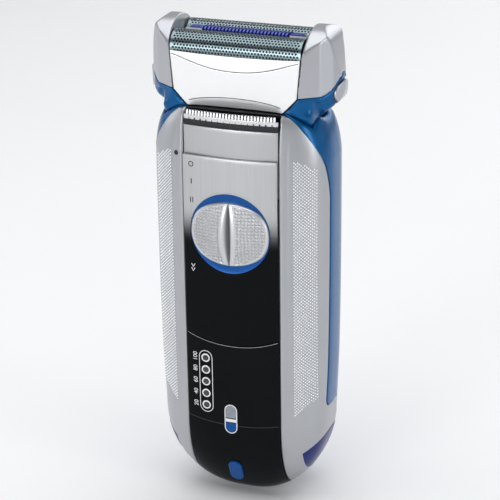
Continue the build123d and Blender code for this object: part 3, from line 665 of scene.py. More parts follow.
def rear():
    bz = np.concatenate([[1.45, 1.6, 1.9, 2.4, 3.0], np.linspace(4.0, 30.5, 26)])
    s0 = np.stack([np.full(len(bz), 7.5), bz], -1)
    line = np.vstack([s0, corner_path[1:], seg2, upper[1:]])
    m0 = len(s0)
    zm = np.concatenate([bz * 26 / 30.5, np.linspace(26, 44, n1 + 1)[1:], np.linspace(44, 106, n2 + 1)[1:], np.linspace(106, 134.7, n3 + 1)[1:]])
    phi_o = phi_of_y(line[:, 0] + GAP, line[:, 1])
    s = edge_steps(70.0, 0.3, 150)
    PH = phi_o[:, None] + (math.pi - 2 * phi_o)[:, None] * s[None]
    w = np.sin(math.pi * s) ** 0.8
    Z = line[:, 1][:, None] + (zm - line[:, 1])[:, None] * w[None]
    for _ in range(3):
        top = z_top(PH)
        Z2 = np.where(Z > 118, 118 + (Z - 118) / (134.7 - 118) * (top - 118), Z)
    Z = Z2
    P = pol(PH, Z)
    N = normal(P)
    up = np.clip((Z - 122) / 8, 0, 1)[..., None]
    Nh = N.copy()
    Nh[..., 2] = 0
    Nh /= np.maximum(np.linalg.norm(Nh, axis=-1, keepdims=True), 1e-9)
    D = N * (1 - up) + Nh * up
    # the shoulders beside the head carry a broad ledge under the yokes
    ledge = up[..., 0] * np.clip((np.abs(P[..., 0]) - 25.2) / 0.5, 0, 1)
    inner = P - D * (1.6 + 1.2 * up + 2.2 * ledge[..., None])
    inner[..., 0] = np.where(ledge > 0, np.sign(P[..., 0]) * np.maximum(np.abs(inner[..., 0]), 25.03), inner[..., 0])
    inner = clear_of_drum(inner)
    return slab(P, N, 1.6, r=0.28, inner=inner)


rv, rf = rear()
rear_shell = new_mesh("rear_shell_blue", rv, rf, M["blue"], "root", rep=("rear_shell",))


# dark oval inlays in the bottom corners, a hair proud of the shells
def inlay():
    th = np.linspace(0, 2 * math.pi, 121)
    rho_max = []
    for t in th:
        lo, hi = 0.0, 1.0
        for _ in range(30):
            m = (lo + hi) / 2
            y, z = 0.5 + (12.5 if math.cos(t) > 0 else 15.4) * m * math.cos(t), 14 + 10.4 * m * math.sin(t)
            w, d = half(z)
            q = 1 - abs(y / float(d)) ** NSE if abs(y) < d else -1
            x = float(w) * q ** (1 / NSE) if q > 0 else 0
            if z > 1 and x > 21.9:
                lo = m
            else:
                hi = m
        rho_max.append(lo if lo < 0.9999 else 1.0)
    rho_max = np.array(rho_max)
    s = np.concatenate([np.linspace(0, 0.965, 22), [0.975, 0.985, 0.993, 0.998, 1.0]])
    R = s[:, None] * rho_max[None]
    Y = 0.5 + np.where(np.cos(th) > 0, 12.5, 15.4)[None] * R * np.cos(th)[None]
    Z = 14 + 10.4 * R * np.sin(th)[None]
    w, d = half(Z)
    X = w * np.clip(1 - np.abs(Y / d) ** NSE, 1e-5, 1) ** (1 / NSE)
    P = np.stack([X, Y, Z], -1)
    N = normal(P)
    P = P + N * 0.10
    return slab(P, N, 0.9, r=0.24, sides=(0, 1, 0, 0))


iv, if_ = inlay()
new_mesh("corner_inlay_right_piece", iv, if_, M["inlay"], "root", rep=("corner_inlay_right",))
iv2, if2 = mirror_x(iv, if_)
new_mesh("corner_inlay_left_piece", iv2, if2, M["inlay"], "root", rep=("corner_inlay_left",))


# raised dots on both cheeks, coloured a lighter silver than the shell as a painted highlight
def grip_dots():
    parts = []
    pitch = 1.05
    base = []
    nr, ns = 3, 9
    for k in range(nr + 1):
        a = math.pi / 2 * k / nr
        base.append((math.cos(a), math.sin(a)))
    count = 0
    for row in range(0, 175):
        z = 32.0 + row * pitch * 0.5
        if z > 122.5:
            break
        for col in range(7):
            x = 20.35 + col * 1.0 + (0.5 if row % 2 else 0.0)
            if row % 2 and col == 6:
                continue
            low = 33.2 + (x - 20) * 0.95
            high = 116.9 + (27 - x) * 0.62
            if z < low or z > high:
                continue
            P = pol(phi_of_x(x, z), z)
            N = normal(P)
            if P[1] > -6.4 and z > 33:
                continue
            t1 = np.cross(N, [0, 0, 1.0])
            t1 /= np.linalg.norm(t1)
            t2 = np.cross(N, t1)
            v = []
            for (c, s) in base[:-1]:
                for i in range(ns):
                    b = 2 * math.pi * i / ns
                    v.append(P + (t1 * math.cos(b) + t2 * math.sin(b)) * 0.285 * c + N * (0.27 * s - 0.04))
            v.append(P + N * 0.23)
            v.append(P - N * 0.10)
            f = []
            for j in range(nr - 1):
                for i in range(ns):
                    f.append((j * ns + i, j * ns + (i + 1) % ns, (j + 1) * ns + (i + 1) % ns, (j + 1) * ns + i))
            top = nr * ns
            for i in range(ns):
                f.append(((nr - 1) * ns + i, (nr - 1) * ns + (i + 1) % ns, top))
                f.append(((i + 1) % ns, i, top + 1))
            parts.append((v, f))
            count += 1
    return merge(parts)


dv, df = grip_dots()
both = merge([(dv, df), mirror_x(dv, df)])
new_mesh("grip_dots", both[0], both[1], M["dots"], "root", angle=80)


# ---------------------------------------------------------------------------
# the front strip
# ---------------------------------------------------------------------------
SMILE_Z, SMILE_R = 57.5, 42.1


def smile(x, grow=0.0):
    return SMILE_Z + SMILE_R - np.sqrt((SMILE_R + grow) ** 2 - x * x)


def display_panel():
    hw = 15.80
    s = edge_steps(2 * hw, 0.22, 46)
    X = -hw + 2 * hw * s
    rows = []
    # straight part, from the smile line down to the start of the dome
    t = np.concatenate([[0, 0.0008, 0.0025, 0.0055, 0.011], np.linspace(0.02, 1, 34)])
    zt = smile(X, 0.25)
    for k in t:
        z = zt * (1 - k) + 29.0 * k
        rows.append(pol(phi_of_x(X, z), z))
    # round the bottom to the seam under it
    x0 = X
    end = []
    for x in X:
        lo, hi = 0.5, math.pi / 2
        for _ in range(30):
            m = (lo + hi) / 2
            p = dome_at(np.array(x), np.array(m))
            if p[1] < -6.2:
                lo = m
            else:
                hi = m
        end.append(lo)
    end = np.array(end)
    t2 = np.concatenate([np.linspace(0, 1, 60)[1:-1], [0.990, 0.995, 0.998, 0.9992, 1.0]])
    for k in t2:
        rows.append(dome_at(X, end * k))
    P = np.array(rows)
    N = normal(P)
    # soft crease across the lower end, where the flat face turns into the curved one
    x, z = P[..., 0], P[..., 2]
    crease = 29.0 + 0.0 * x - 1.9 * (1 - (x / 18.0) ** 2) + 1.6
    d = (z - crease) / 0.55
    P = P - N * (0.10 * np.exp(-d * d))[..., None]
    return slab(P, N, 1.4, r=0.22)


pv, pf = display_panel()
new_mesh("display_panel_black", pv, pf, M["panel"], "root", rep=("display_panel",))


def band_y(x, face, sag=1.2, hw0=15.55):
    return face + sag * (x / hw0) ** 2


def band_normal(x, sag=1.2, hw0=15.55):
    n = np.stack([2 * sag * x / hw0 ** 2, -np.ones_like(x), np.zeros_like(x)], -1)
    return n / np.linalg.norm(n, axis=-1, keepdims=True)


KNOB_Z = 95.5
DISH_R = 13.3


def switch_plate():
    hw, top = 15.55, 120.3
    # angles round the dish, with the four corners among them
    n = 160
    base = np.linspace(0, 2 * math.pi, n, endpoint=False)
    zl = float(smile(np.array(hw)))
    corners = [math.atan2(top - KNOB_Z, hw), math.atan2(top - KNOB_Z, -hw), math.atan2(zl - KNOB_Z, -hw) % (2 * math.pi), math.atan2(zl - KNOB_Z, hw) % (2 * math.pi)]
    a = np.unique(np.concatenate([base, np.array(corners) % (2 * math.pi)]))
    extra = []
    for c in corners:
        extra += [c - 0.006, c + 0.006, c - 0.018, c + 0.018]
    a = np.unique(np.concatenate([a, np.array(extra) % (2 * math.pi)]))
    outer = []
    for t in a:
        dx, dz = math.cos(t), math.sin(t)
        lo, hi = 0.0, 60.0
        for _ in range(40):
            m = (lo + hi) / 2
            x, z = m * dx, KNOB_Z + m * dz
            if abs(x) < hw and z < top and z > float(smile(np.array(min(abs(x), hw)))):
                lo = m
            else:
                hi = m
        outer.append((lo * dx, KNOB_Z + lo * dz))
    outer = np.array(outer)
    inner = np.stack([DISH_R * np.cos(a), KNOB_Z + DISH_R * np.sin(a)], -1)
    L = np.linalg.norm(outer - inner, axis=1)
    r = 0.22
    e = np.array([0.0, 0.06, 0.22, 0.48, 1.0]) * r
    rows = []
    for k in e:
        rows.append(np.minimum(k / L, 0.2))
    for q in np.linspace(0, 1, 12)[1:-1]:
        rows.append(np.clip(r / L + q * (1 - 2 * r / L), 0, 1))
    for k in e[::-1]:
        rows.append(1 - np.minimum(k / L, 0.2))
    S = np.array(rows)
    xz = inner[None] + (outer - inner)[None] * S[..., None]
    X, Z = xz[..., 0], xz[..., 1]
    P = np.stack([X, band_y(X, -18.9), Z], -1)
    N = band_normal(X)
    P = np.concatenate([P, P[:, :1]], 1)
    N = np.concatenate([N, N[:, :1]], 1)
    return slab(P, N, 0.95, r=r, sides=(1, 1, 0, 0))


sv, sf = switch_plate()
new_mesh("switch_plate_face", sv, sf, M["fade"], "switch", rep=("switch_plate",), angle=30)


def switch_dish():
    nr, na = 22, 120
    r = np.concatenate([np.linspace(0, 12.95, nr - 3), [13.05, 13.15, 13.22]])
    a = np.linspace(0, 2 * math.pi, na + 1)
    R, A = np.meshgrid(r, a, indexing="ij")
    X, Z = R * np.cos(A), KNOB_Z + R * np.sin(A)
    rim = band_y(X, -18.72)
    bowl = 0.75 * np.clip(1 - (R / 13.2) ** 2, 0, 1) ** 0.7
    P = np.stack([X, rim + bowl, Z], -1)
    dx = np.gradient(P, axis=1)
    dr = np.gradient(P, axis=0)
    N = np.cross(dr, dx)
    N /= np.maximum(np.linalg.norm(N, axis=-1, keepdims=True), 1e-9)
    N = np.where(N[..., 1:2] > 0, -N, N)
    N[0] = (0, -1, 0)
    inner = P.copy()
    inner[..., 1] = np.maximum(P[..., 1] + 0.25, -17.95)
    return slab(P, N, 0.3, r=0.12, sides=(0, 1, 0, 0), inner=inner)


hv, hf = switch_dish()
new_mesh("switch_dish_blue", hv, hf, M["blue_bright"], "switch", rep=("switch_dish",))

KNOB_A, KNOB_B, KNOB_R = 12.9, 10.5, 21.3


def knob_reach(A):
    # radius of the outline by angle: a disc cut by two wide arcs, above and below
    sa = np.sin(A)
    arc = -(KNOB_R - KNOB_B) * np.abs(sa) + np.sqrt((KNOB_R - KNOB_B) ** 2 * sa ** 2 + KNOB_R ** 2 - (KNOB_R - KNOB_B) ** 2)
    return (arc ** -16.0 + KNOB_A ** -16.0) ** (-1 / 16.0)


def knob():
    # ridged oval knob: rounded rim, spindle groove down the middle, square pyramids on both wings
    nu, nv = 250, 200
    th = np.linspace(0, math.pi, 1200)
    ox, oz = knob_reach(th) * np.cos(th), knob_reach(th) * np.sin(th)
    u = np.linspace(-1, 1, nu)
    xs = KNOB_A * 0.9997 * (0.80 * u + 0.20 * np.sin(u * math.pi / 2))
    tops = np.interp(xs, ox[::-1], oz[::-1])
    w = np.linspace(-1, 1, nv)
    vs = 0.84 * w + 0.16 * np.sin(w * math.pi / 2)
    X = np.repeat(xs[None], nv, 0)
    Z = vs[:, None] * tops[None]
    rr = np.minimum(np.hypot(X, Z) / knob_reach(np.arctan2(Z, X)), 1.0)
    face = -21.15 + 34.0 - np.sqrt(34.0 ** 2 - X * X - Z * Z)
    # spindle groove
    half_w = 1.40 * np.clip(1 - (Z / 10.6) ** 2, 0, 1) ** 0.9 + 0.12
    g = np.clip(1 - np.abs(X) / half_w, 0, 1)
    groove = 1.25 * np.clip(half_w / 1.8, 0, 1) * (g * g * (3 - 2 * g)) ** 0.8
    # smooth shoulders of the groove bulge a little
    shoulder = -0.06 * np.exp(-((np.abs(X) - half_w - 0.6) / 0.6) ** 2)
    # pyramids
    pitch = 1.06
    start = half_w + 1.15
    fu = np.abs((((np.abs(X) - 2.2) / pitch) % 1.0) - 0.5) * 2
    fv = np.abs(((Z / pitch) % 1.0) - 0.5) * 2
    pyr = np.maximum(fu, fv)
    on = np.clip((np.abs(X) - start) / 0.25, 0, 1) * np.clip((0.93 - rr) / 0.03, 0, 1)
    grid = 0.50 * np.clip((pyr - 0.30) / 0.70, 0, 1) ** 1.2 * on
    rim = 0.62 - np.sqrt(np.maximum(0.62 ** 2 - np.clip(0.62 - (1 - rr) * 10.5, 0, 0.62) ** 2, 0))
    Y = face + groove + shoulder + grid + rim * 1.2
    P = np.stack([X, Y, Z], -1)
    # walk round the border of the grid and drop a wall from it
    ring = [(0, k) for k in range(nu)] + [(j, nu - 1) for j in range(1, nv)] + [(nv - 1, k) for k in range(nu - 2, -1, -1)] \
        + [(j, 0) for j in range(nv - 2, 0, -1)]
    ids = [j * nu + k for (j, k) in ring]
    side = P.reshape(-1, 3)[ids].copy()
    side[:, 1] = -18.15
    n, m = nu * nv, len(ids)
    faces = grid_faces(nv, nu)
    for i in range(m):
        faces.append((ids[i], ids[(i + 1) % m], n + (i + 1) % m, n + i))
    centre = n + m
    for i in range(m):
        faces.append((n + i, n + (i + 1) % m, centre))
    v_ = np.vstack([P.reshape(-1, 3), side, [[0.0, -18.15, 0.0]]])
    v_[:, 2] += KNOB_Z
    return v_, faces


kv, kf = knob()
new_mesh("switch_knob_ridged", kv, kf, M["knob"], "switch", rep=("switch_knob",), angle=60,
         )


def band_patch(face, hw, z0, z1, T, r, nu=40, nv=24, sag=1.2, top_curve=None):
    s = edge_steps(2 * hw, r, nu)
    X = -hw + 2 * hw * s
    t = edge_steps(z1 - z0, r, nv)
    Z = z0 + (z1 - z0) * t
    XX, ZZ = np.meshgrid(X, Z)
    P = np.stack([XX, band_y(XX, face, sag), ZZ], -1)
    return slab(P, band_normal(XX, sag), T, r=r)


tv, tf = band_patch(-17.6, 15.5, 108.0, 129.55, 1.0, 0.25)
new_mesh("trimmer_cover_plate", tv, tf, M["cover"], "trimmer", rep=("trimmer_cover",), angle=30)


def comb_strip(face, hw, z0, z1, root, thick, pitch, gap, phase=0.0, tip=0.32):
    # toothed strip: a solid back with tapered teeth rounded at their tips
    parts = []
    n = int(hw / pitch) + 1
    parts.append(band_patch(face, hw, z0, root, thick, 0.08, nu=50, nv=6))
    for k in range(-n, n + 1):
        cx = k * pitch + phase
        if abs(cx) + (pitch - gap) / 2 > hw:
            continue
        w = (pitch - gap) / 2
        prof = []
        for t in np.linspace(0, 1, 7):
            ww = w * (1 - 0.25 * t ** 2)
            prof.append((ww, root - 0.05 + (z1 - root - tip) * t))
        for q in np.linspace(0, math.pi / 2, 5)[1:]:
            prof.append((0.75 * w * math.cos(q), z1 - tip + tip * math.sin(q)))
        ys, nn = [], []
        v, f = [], []
        for side in (0, 1):
            yy = band_y(np.array(cx), face) + (0 if side == 0 else thick)
            taper = 0.0
            for (ww, z) in prof:
                lean = 0.28 * ((z - root) / (z1 - root)) ** 1.5 if z > root else 0
                y = float(yy) + (lean if side == 0 else 0)
                v.append((cx - ww, y, z))
                v.append((cx + ww, y, z))
        m = len(prof)
        for j in range(m - 1):
            a, b, c, d = 2 * j, 2 * j + 1, 2 * j + 3, 2 * j + 2
            f.append((a, b, c, d))
            o = 2 * m
            f.append((o + d, o + c, o + b, o + a))
            f.append((a, d, o + d, o + a))
            f.append((c, b, o + b, o + c))
        f.append((1, 0, 2 * m, 2 * m + 1))
        f.append((2 * m - 2, 2 * m - 1, 4 * m - 1, 4 * m - 2))
        parts.append((v, f))
    return merge(parts)


gv, gf = comb_strip(-17.15, 15.45, 131.35, 134.3, 132.75, 0.55, 1.02, 0.42)
new_mesh("trimmer_comb_teeth", gv, gf, M["tooth"], "trimmer", rep=("trimmer_comb",), angle=40)
gv, gf = comb_strip(-16.35, 14.4, 131.9, 134.1, 132.9, 0.55, 1.02, 0.46, phase=0.2)
new_mesh("trimmer_blade_teeth", gv, gf, M["steel"], "trimmer_blade_body", rep=("trimmer_blade",), angle=40)
gv, gf = band_patch(-16.98, 15.5, 129.75, 131.9, 0.9, 0.2, nv=8)
new_mesh("trimmer_carrier_face", gv, gf, M["satin_black"], "trimmer")


# lights, numbers, capsule and the reset button on the display panel
def panel_y(x, z):
    return float(pol(phi_of_x(np.array(float(x)), np.array(float(z))), np.array(float(z)))[1])


RINGS = [(-9.0, 51.7), (-9.0, 47.5), (-9.0, 43.3), (-9.0, 39.1), (-9.0, 34.9)]
ring_parts, disc_parts = [], []
for (x, z) in RINGS:
    y = panel_y(x, z)
    ring_parts.append(tube_ring(x, z, y - 0.02, 1.22, 0.27, squash=0.55))
    a = np.linspace(0, 2 * math.pi, 32, endpoint=False)
    o = np.stack([x + 1.12 * np.cos(a), np.full(32, y), z + 1.12 * np.sin(a)], -1)
    disc_parts.append(rounded_path_prism(o, None, (0, -1, 0), 0.12, r=0.08, down=0.4))
v, f = merge(ring_parts)
new_mesh("ring_lens_rims", v, f, M["white"], "root")
v, f = merge(disc_parts)
new_mesh("ring_lens_faces", v, f, M["dark_dish"], "root", rep=("ring_lenses",))


def stroke(points, width, closed=False, lift=0.05, down=0.25, yfn=panel_y):
    # thin printed line as a low ridge that follows the panel
    p = np.asarray(points, float)
    n = len(p)
    t = np.zeros_like(p)
    for i in range(n):
        a = p[(i - 1) % n] if (closed or i > 0) else p[i]
        b = p[(i + 1) % n] if (closed or i < n - 1) else p[i]
        t[i] = (b - a) / max(np.linalg.norm(b - a), 1e-9)
    q = np.stack([-t[:, 1], t[:, 0]], -1) * width / 2
    L, R = p + q, p - q
    v, f = [], []
    for (l, r) in zip(L, R):
        v.append((l[0], yfn(l[0], l[1]) - lift, l[1]))
        v.append((r[0], yfn(r[0], r[1]) - lift, r[1]))
        v.append((r[0], yfn(r[0], r[1]) + down, r[1]))
        v.append((l[0], yfn(l[0], l[1]) + down, l[1]))
    m = n if closed else n - 1
    for i in range(m):
        a, b = 4 * i, 4 * ((i + 1) % n)
        for k in range(4):
            f.append((a + k, a + (k + 1) % 4, b + (k + 1) % 4, b + k))
    if not closed:
        f.append((0, 1, 2, 3))
        e = 4 * (n - 1)
        f.append((e + 3, e + 2, e + 1, e))
    return v, f


def stadium(cx, cz, hw, hh, n=14):
    pts = []
    c = hh - hw
    for a in np.linspace(0, math.pi, n):
        pts.append((cx + hw * math.cos(a), cz + c + hw * math.sin(a)))
    for a in np.linspace(math.pi, 2 * math.pi, n):
        pts.append((cx + hw * math.cos(a), cz - c + hw * math.sin(a)))
    return np.array(pts)


prints = [stroke(stadium(-9.0, 43.3, 2.25, 10.9), 0.22, closed=True)]
# capsule light: outline, bar and two windows
prints.append(stroke(stadium(-0.6, 31.0, 2.0, 5.05), 0.30, closed=True, lift=0.10))
v, f = merge(prints)
new_mesh("display_printed_lines", v, f, M["white"], "root", angle=20)


def clipped_stadium(cx, cz, hw, hh, zlo, zhi):
    pts = stadium(cx, cz, hw, hh, 18)
    out = [(x, min(max(z, zlo), zhi)) for (x, z) in pts]
    return np.array(out)


for (nm, lo, hi, mt) in (("cutter_light_window", 31.4, 36.0, M["lens"]), ("cutter_light_blue", 26.0, 29.6, M["blue_bright"]), ("cutter_light_bar", 29.95, 31.05, M["white"])):
    o2 = clipped_stadium(-0.6, 31.0, 1.78, 4.85, lo, hi)
    y = np.array([panel_y(x, z) for (x, z) in o2])
    o = np.stack([o2[:, 0], y, o2[:, 1]], -1)
    nrm = normal(o.mean(0))
    v, f = rounded_path_prism(o, None, nrm, 0.14, r=0.1, down=0.4)
    new_mesh(nm, v, f, mt, "root", rep=("cutter_indicator_lens",) if nm == "cutter_light_window" else ())

RESET_ANG = math.radians(24.0)
rn = np.array([0, -math.cos(RESET_ANG), -math.sin(RESET_ANG)])
rup = np.array([0, -math.sin(RESET_ANG), math.cos(RESET_ANG)])
o2 = stadium(0, 0, 2.35, 4.4, 20)
o = np.array([-0.4, -14.72, 10.57]) + o2[:, :1] * np.array([1.0, 0, 0]) + o2[:, 1:] * rup
v, f = rounded_path_prism(o, None, rn, 0.75, r=0.55, down=2.4, steps=6)
new_mesh("reset_button_blue", v, f, M["blue_bright"], "reset", rep=("reset_button",))
# index dot on the left cheek
P0 = pol(phi_of_x(np.array(-18.1), np.array(120.0)), np.array(120.0))
N0 = normal(P0)
t1 = np.cross(N0, [0, 0, 1.0]); t1 /= np.linalg.norm(t1)
t2 = np.cross(N0, t1)
a = np.linspace(0, 2 * math.pi, 28, endpoint=False)
o = P0 + 0.78 * (np.cos(a)[:, None] * t1 + np.sin(a)[:, None] * t2)
v, f = rounded_path_prism(o, None, N0, 0.10, r=0.08, down=0.5)
new_mesh("index_dot_mark", v, f, M["satin_black"], "root", rep=("index_dot",))


# painted highlight along the rim under the sliding plate, and a lighter painted highlight line along the soft crease
# across the lower end
def smile_face(x, z):
    return panel_y(x, z) + 0.02


xs_ = np.linspace(-15.3, 15.3, 60)
# painted highlight along the panel's top rim, under the sliding plate
v, f = stroke([(x, float(smile(np.array(x), 0.25)) - 0.30) for x in xs_], 0.13, lift=0.04, down=0.2, yfn=smile_face)
new_mesh("panel_rim_painted_highlight", v, f, M["bright"], "root", angle=20)
# painted highlight along the soft crease across the lower end
v, f = stroke([(x, 30.6 - 1.9 * (1 - (x / 18.0) ** 2)) for x in xs_], 0.26, lift=0.0, down=0.2, yfn=smile_face)
new_mesh("panel_crease_painted_highlight", v, f, M["crease"], "root", angle=20)


# position marks on the sliding plate: generic ring, bar and dots only
def switch_face(x, z):
    return float(band_y(np.array(float(x)), -18.9))


def switch_mark(name, shapes, mt):
    parts = [stroke(p, w, closed=c, lift=0.035, down=0.2, yfn=switch_face) for (p, w, c) in shapes]
    v, f = merge(parts)
    new_mesh(name, v, f, mt, "switch", angle=20)


def circle_points(cx, cz, r, n=24):
    return np.array([(cx + r * math.cos(t), cz + r * math.sin(t)) for t in np.linspace(0, 2 * math.pi, n, endpoint=False)])


switch_mark("switch_marks_dark", [
    (circle_points(-12.6, 117.4, 0.75), 0.26, True),
    ([(-12.6, 112.6), (-12.6, 110.9)], 0.34, False),
    ([(-13.0, 106.4), (-13.0, 104.7)], 0.30, False),
    ([(-12.2, 106.4), (-12.2, 104.7)], 0.30, False),
], M["satin_black"])
switch_mark("switch_marks_light", [
    ([(-13.2, 84.0), (-12.6, 82.9), (-12.0, 84.0)], 0.26, False),
    ([(-13.2, 82.6), (-12.6, 81.5), (-12.0, 82.6)], 0.26, False),
], M["white"])


def number(text, x, z, size, mat_, body="root", yfn=panel_y, name="scale_number"):
    cu = bpy.data.curves.new(name, "FONT")
    cu.body = text
    cu.size = size * 0.001
    cu.align_x = "CENTER"
    cu.align_y = "CENTER"
    cu.extrude = 0.00003
    tmp = bpy.data.objects.new(name + "_tmp", cu)
    SCENE.collection.objects.link(tmp)
    bpy.context.view_layer.update()
    me = bpy.data.meshes.new_from_object(tmp.evaluated_get(bpy.context.evaluated_depsgraph_get()))
    bpy.data.objects.remove(tmp)
    co = np.zeros(len(me.vertices) * 3)
    me.vertices.foreach_get("co", co)
    co = co.reshape(-1, 3) * 1000
    # turned a quarter to the left, so it reads upwards
    px = x - co[:, 1]
    pz = z + co[:, 0]
    py = np.array([yfn(a_, b_) for a_, b_ in zip(px, pz)]) - 0.05 - co[:, 2]
    out = to_m(np.stack([px, py, pz], -1))
    me.vertices.foreach_set("co", out.ravel())
    me.update()
    me.materials.clear()
    me.materials.append(mat_)
    ob = bpy.data.objects.new(name, me)
    SCENE.collection.objects.link(ob)
    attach(ob, body)
    return ob


for k, (txt, (x, z)) in enumerate(zip(("100", "80", "60", "40", "20"), RINGS)):
    number(txt, -12.7, z, 2.1, M["white"], name="scale_number_%d" % k)


# ---------------------------------------------------------------------------
# the back: rubber pad, contacts, screws
# ---------------------------------------------------------------------------
def grip_pad():
    hw, hh, r = 13.5, 33.0, 9.0
    n = 176
    # outline by angle, rounded rectangle
    ns = 60
    s = np.concatenate([np.linspace(0, 0.975, ns), [0.985, 0.993, 1.0]])
    a = np.linspace(0, 2 * math.pi, n + 1)
    out = []
    for t in a:
        dx, dz = math.cos(t), math.sin(t)
        lo, hi = 0, 40
        for _ in range(40):
            m = (lo + hi) / 2
            x, z = abs(m * dx), abs(m * dz)
            q = math.hypot(max(x - (hw - r), 0), max(z - (hh - r), 0)) if (x > hw - r or z > hh - r) else 0
            if q > r or x > hw or z > hh:
                hi = m
            else:
                lo = m
        out.append((lo * dx, lo * dz))
    out = np.array(out)
    X = s[:, None] * out[None, :, 0]
    Z = s[:, None] * out[None, :, 1]
    Y = 19.30 - 1.0 * (X / 14.0) ** 2
    P = np.stack([X, Y, Z + 72], -1)
    N = np.stack([2 * X / 196, np.ones_like(X), np.zeros_like(X)], -1)
    N /= np.linalg.norm(N, axis=-1, keepdims=True)
    return slab(P, N, 1.4, r=0.5, sides=(0, 1, 0, 0))


v, f = grip_pad()
new_mesh("rear_grip_pad_base", v, f, M["rubber"], "root", rep=("rear_grip_pad",))


def pad_ribs():
    # low rounded ribs in shallow arcs across the pad
    parts = []
    for k in range(15):
        zc = 44.0 + k * 4.0
        n = 41
        # half width inside the rounded ends
        zz = abs(zc - 72)
        lim = 11.6 if zz < 24 else 4.5 + math.sqrt(max(9.0 ** 2 - (zz - 24) ** 2, 0)) - 2.0
        xs = np.linspace(-lim, lim, n)
        cz = zc - 1.1 * (1 - (xs / 12) ** 2) + 0.5
        y = 19.30 - 1.0 * (xs / 14.0) ** 2
        v, f = [], []
        m = 9
        for i in range(n):
            e = min(1.0, math.sqrt(max(1 - ((abs(xs[i]) - (lim - 0.8)) / 0.8) ** 2, 0)) if abs(xs[i]) > lim - 0.8 else 1.0)
            for q in range(m):
                b = math.pi * q / (m - 1)
                v.append((xs[i], min(y[i] - 0.06 + 0.40 * math.sin(b) * e, 19.30), cz[i] + 0.85 * math.cos(b) * max(e, 0.02)))
        for i in range(n - 1):
            for q in range(m - 1):
                f.append((i * m + q, i * m + q + 1, (i + 1) * m + q + 1, (i + 1) * m + q))
            f.append((i * m + m - 1, i * m, (i + 1) * m, (i + 1) * m + m - 1))
        f.append(tuple(range(m))[::-1])
        f.append(tuple((n - 1) * m + q for q in range(m)))
        parts.append((v, f))
    return merge(parts)


def back_point(x, z):
    P = pol(phi_of_x(np.array(float(x)), np.array(float(z)), front=False), np.array(float(z)))
    return P, normal(P)


def disc_on(P, N, r, h, rim=0.15, down=0.4, n=36, squash=1.0):
    t1 = np.cross(N, [0, 0, 1.0])
    t1 /= np.linalg.norm(t1)
    t2 = np.cross(N, t1)
    a = np.linspace(0, 2 * math.pi, n, endpoint=False)
    o = P + r * (np.cos(a)[:, None] * t1 + squash * np.sin(a)[:, None] * t2)
    return rounded_path_prism(o, None, N, h, r=rim, down=down)


v, f = pad_ribs()
new_mesh("rear_grip_pad_ribs", v, f, M["rubber"], "root")
cp = [disc_on(*back_point(x, 24.0), 2.5, 0.16, rim=0.14) for x in (-6.5, 6.5)]
v, f = merge(cp)
new_mesh("charge_contact_pads", v, f, M["copper"], "root", rep=("charge_contacts",))


def screw_head(x, z):
    P, N = back_point(x, z)
    # countersunk ring and a head with a cross recess
    t1 = np.cross(N, [0, 0, 1.0])
    t1 /= np.linalg.norm(t1)
    t2 = np.cross(N, t1)
    n = 48
    a = np.linspace(0, 2 * math.pi, n, endpoint=False)
    v, f = [], []
    rr = [2.35, 2.2, 2.02, 1.9, 1.75, 1.55, 1.3, 1.0, 0.7, 0.35]
    for r in rr:
        for t in a:
            u, w = r * math.cos(t), r * math.sin(t)
            h = 0.06
            if r > 2.3:
                h = -0.15
            if r <= 1.9:
                h = 0.02 + 0.10 * math.sqrt(max(1 - (r / 1.9) ** 2, 0))
                if (abs(u) < 0.30 and abs(w) < 1.25) or (abs(w) < 0.30 and abs(u) < 1.25):
                    h = -0.30
            if 1.95 < r < 2.1:
                h = -0.10
            v.append(P + t1 * u + t2 * w + N * h)
    m = len(rr)
    for j in range(m - 1):
        for i in range(n):
            f.append((j * n + i, j * n + (i + 1) % n, (j + 1) * n + (i + 1) % n, (j + 1) * n + i))
    v.append(P - N * 0.30)
    v.append(P - N * 0.8)
    for i in range(n):
        f.append(((m - 1) * n + i, (m - 1) * n + (i + 1) % n, m * n))
        f.append(((i + 1) % n, i, m * n + 1))
    return np.array(v), f


v, f = merge([screw_head(x, z) for (x, z) in ((20.5, 32.0), (-20.5, 32.0), (20.5, 98.0), (-20.5, 98.0))])
new_mesh("housing_screw_heads", v, f, M["steel"], "root", rep=("housing_screws",), angle=25)


# trough in the top of the handle that the head's drum turns in
def trough():
    th = np.linspace(math.radians(-160), math.radians(-20), 61)
    R = 13.75
    rows = []
    for t in th:
        y, z = R * math.cos(t), 139.5 + R * math.sin(t)
        zc = min(z, 134.6)
        w, d = half(np.array(zc))
        q = 1 - abs(y / float(d)) ** NSE
        lim = min(24.9, float(w) * max(q, 0.01) ** (1 / NSE) - 0.9)
        xs = np.linspace(-lim, lim, 30)
        rows.append(np.stack([xs, np.full(30, y), np.full(30, z)], -1))
    P = np.array(rows)
    N = np.stack([np.zeros_like(P[..., 0]), -P[..., 1], 139.5 - P[..., 2]], -1)
    N /= np.linalg.norm(N, axis=-1, keepdims=True)
    keep = P[:, 0, 2] < 134.5
    return slab(P[keep], N[keep], 0.5, r=0.05)


v, f = trough()
new_mesh("neck_trough", v, f, M["satin_black"], "root")


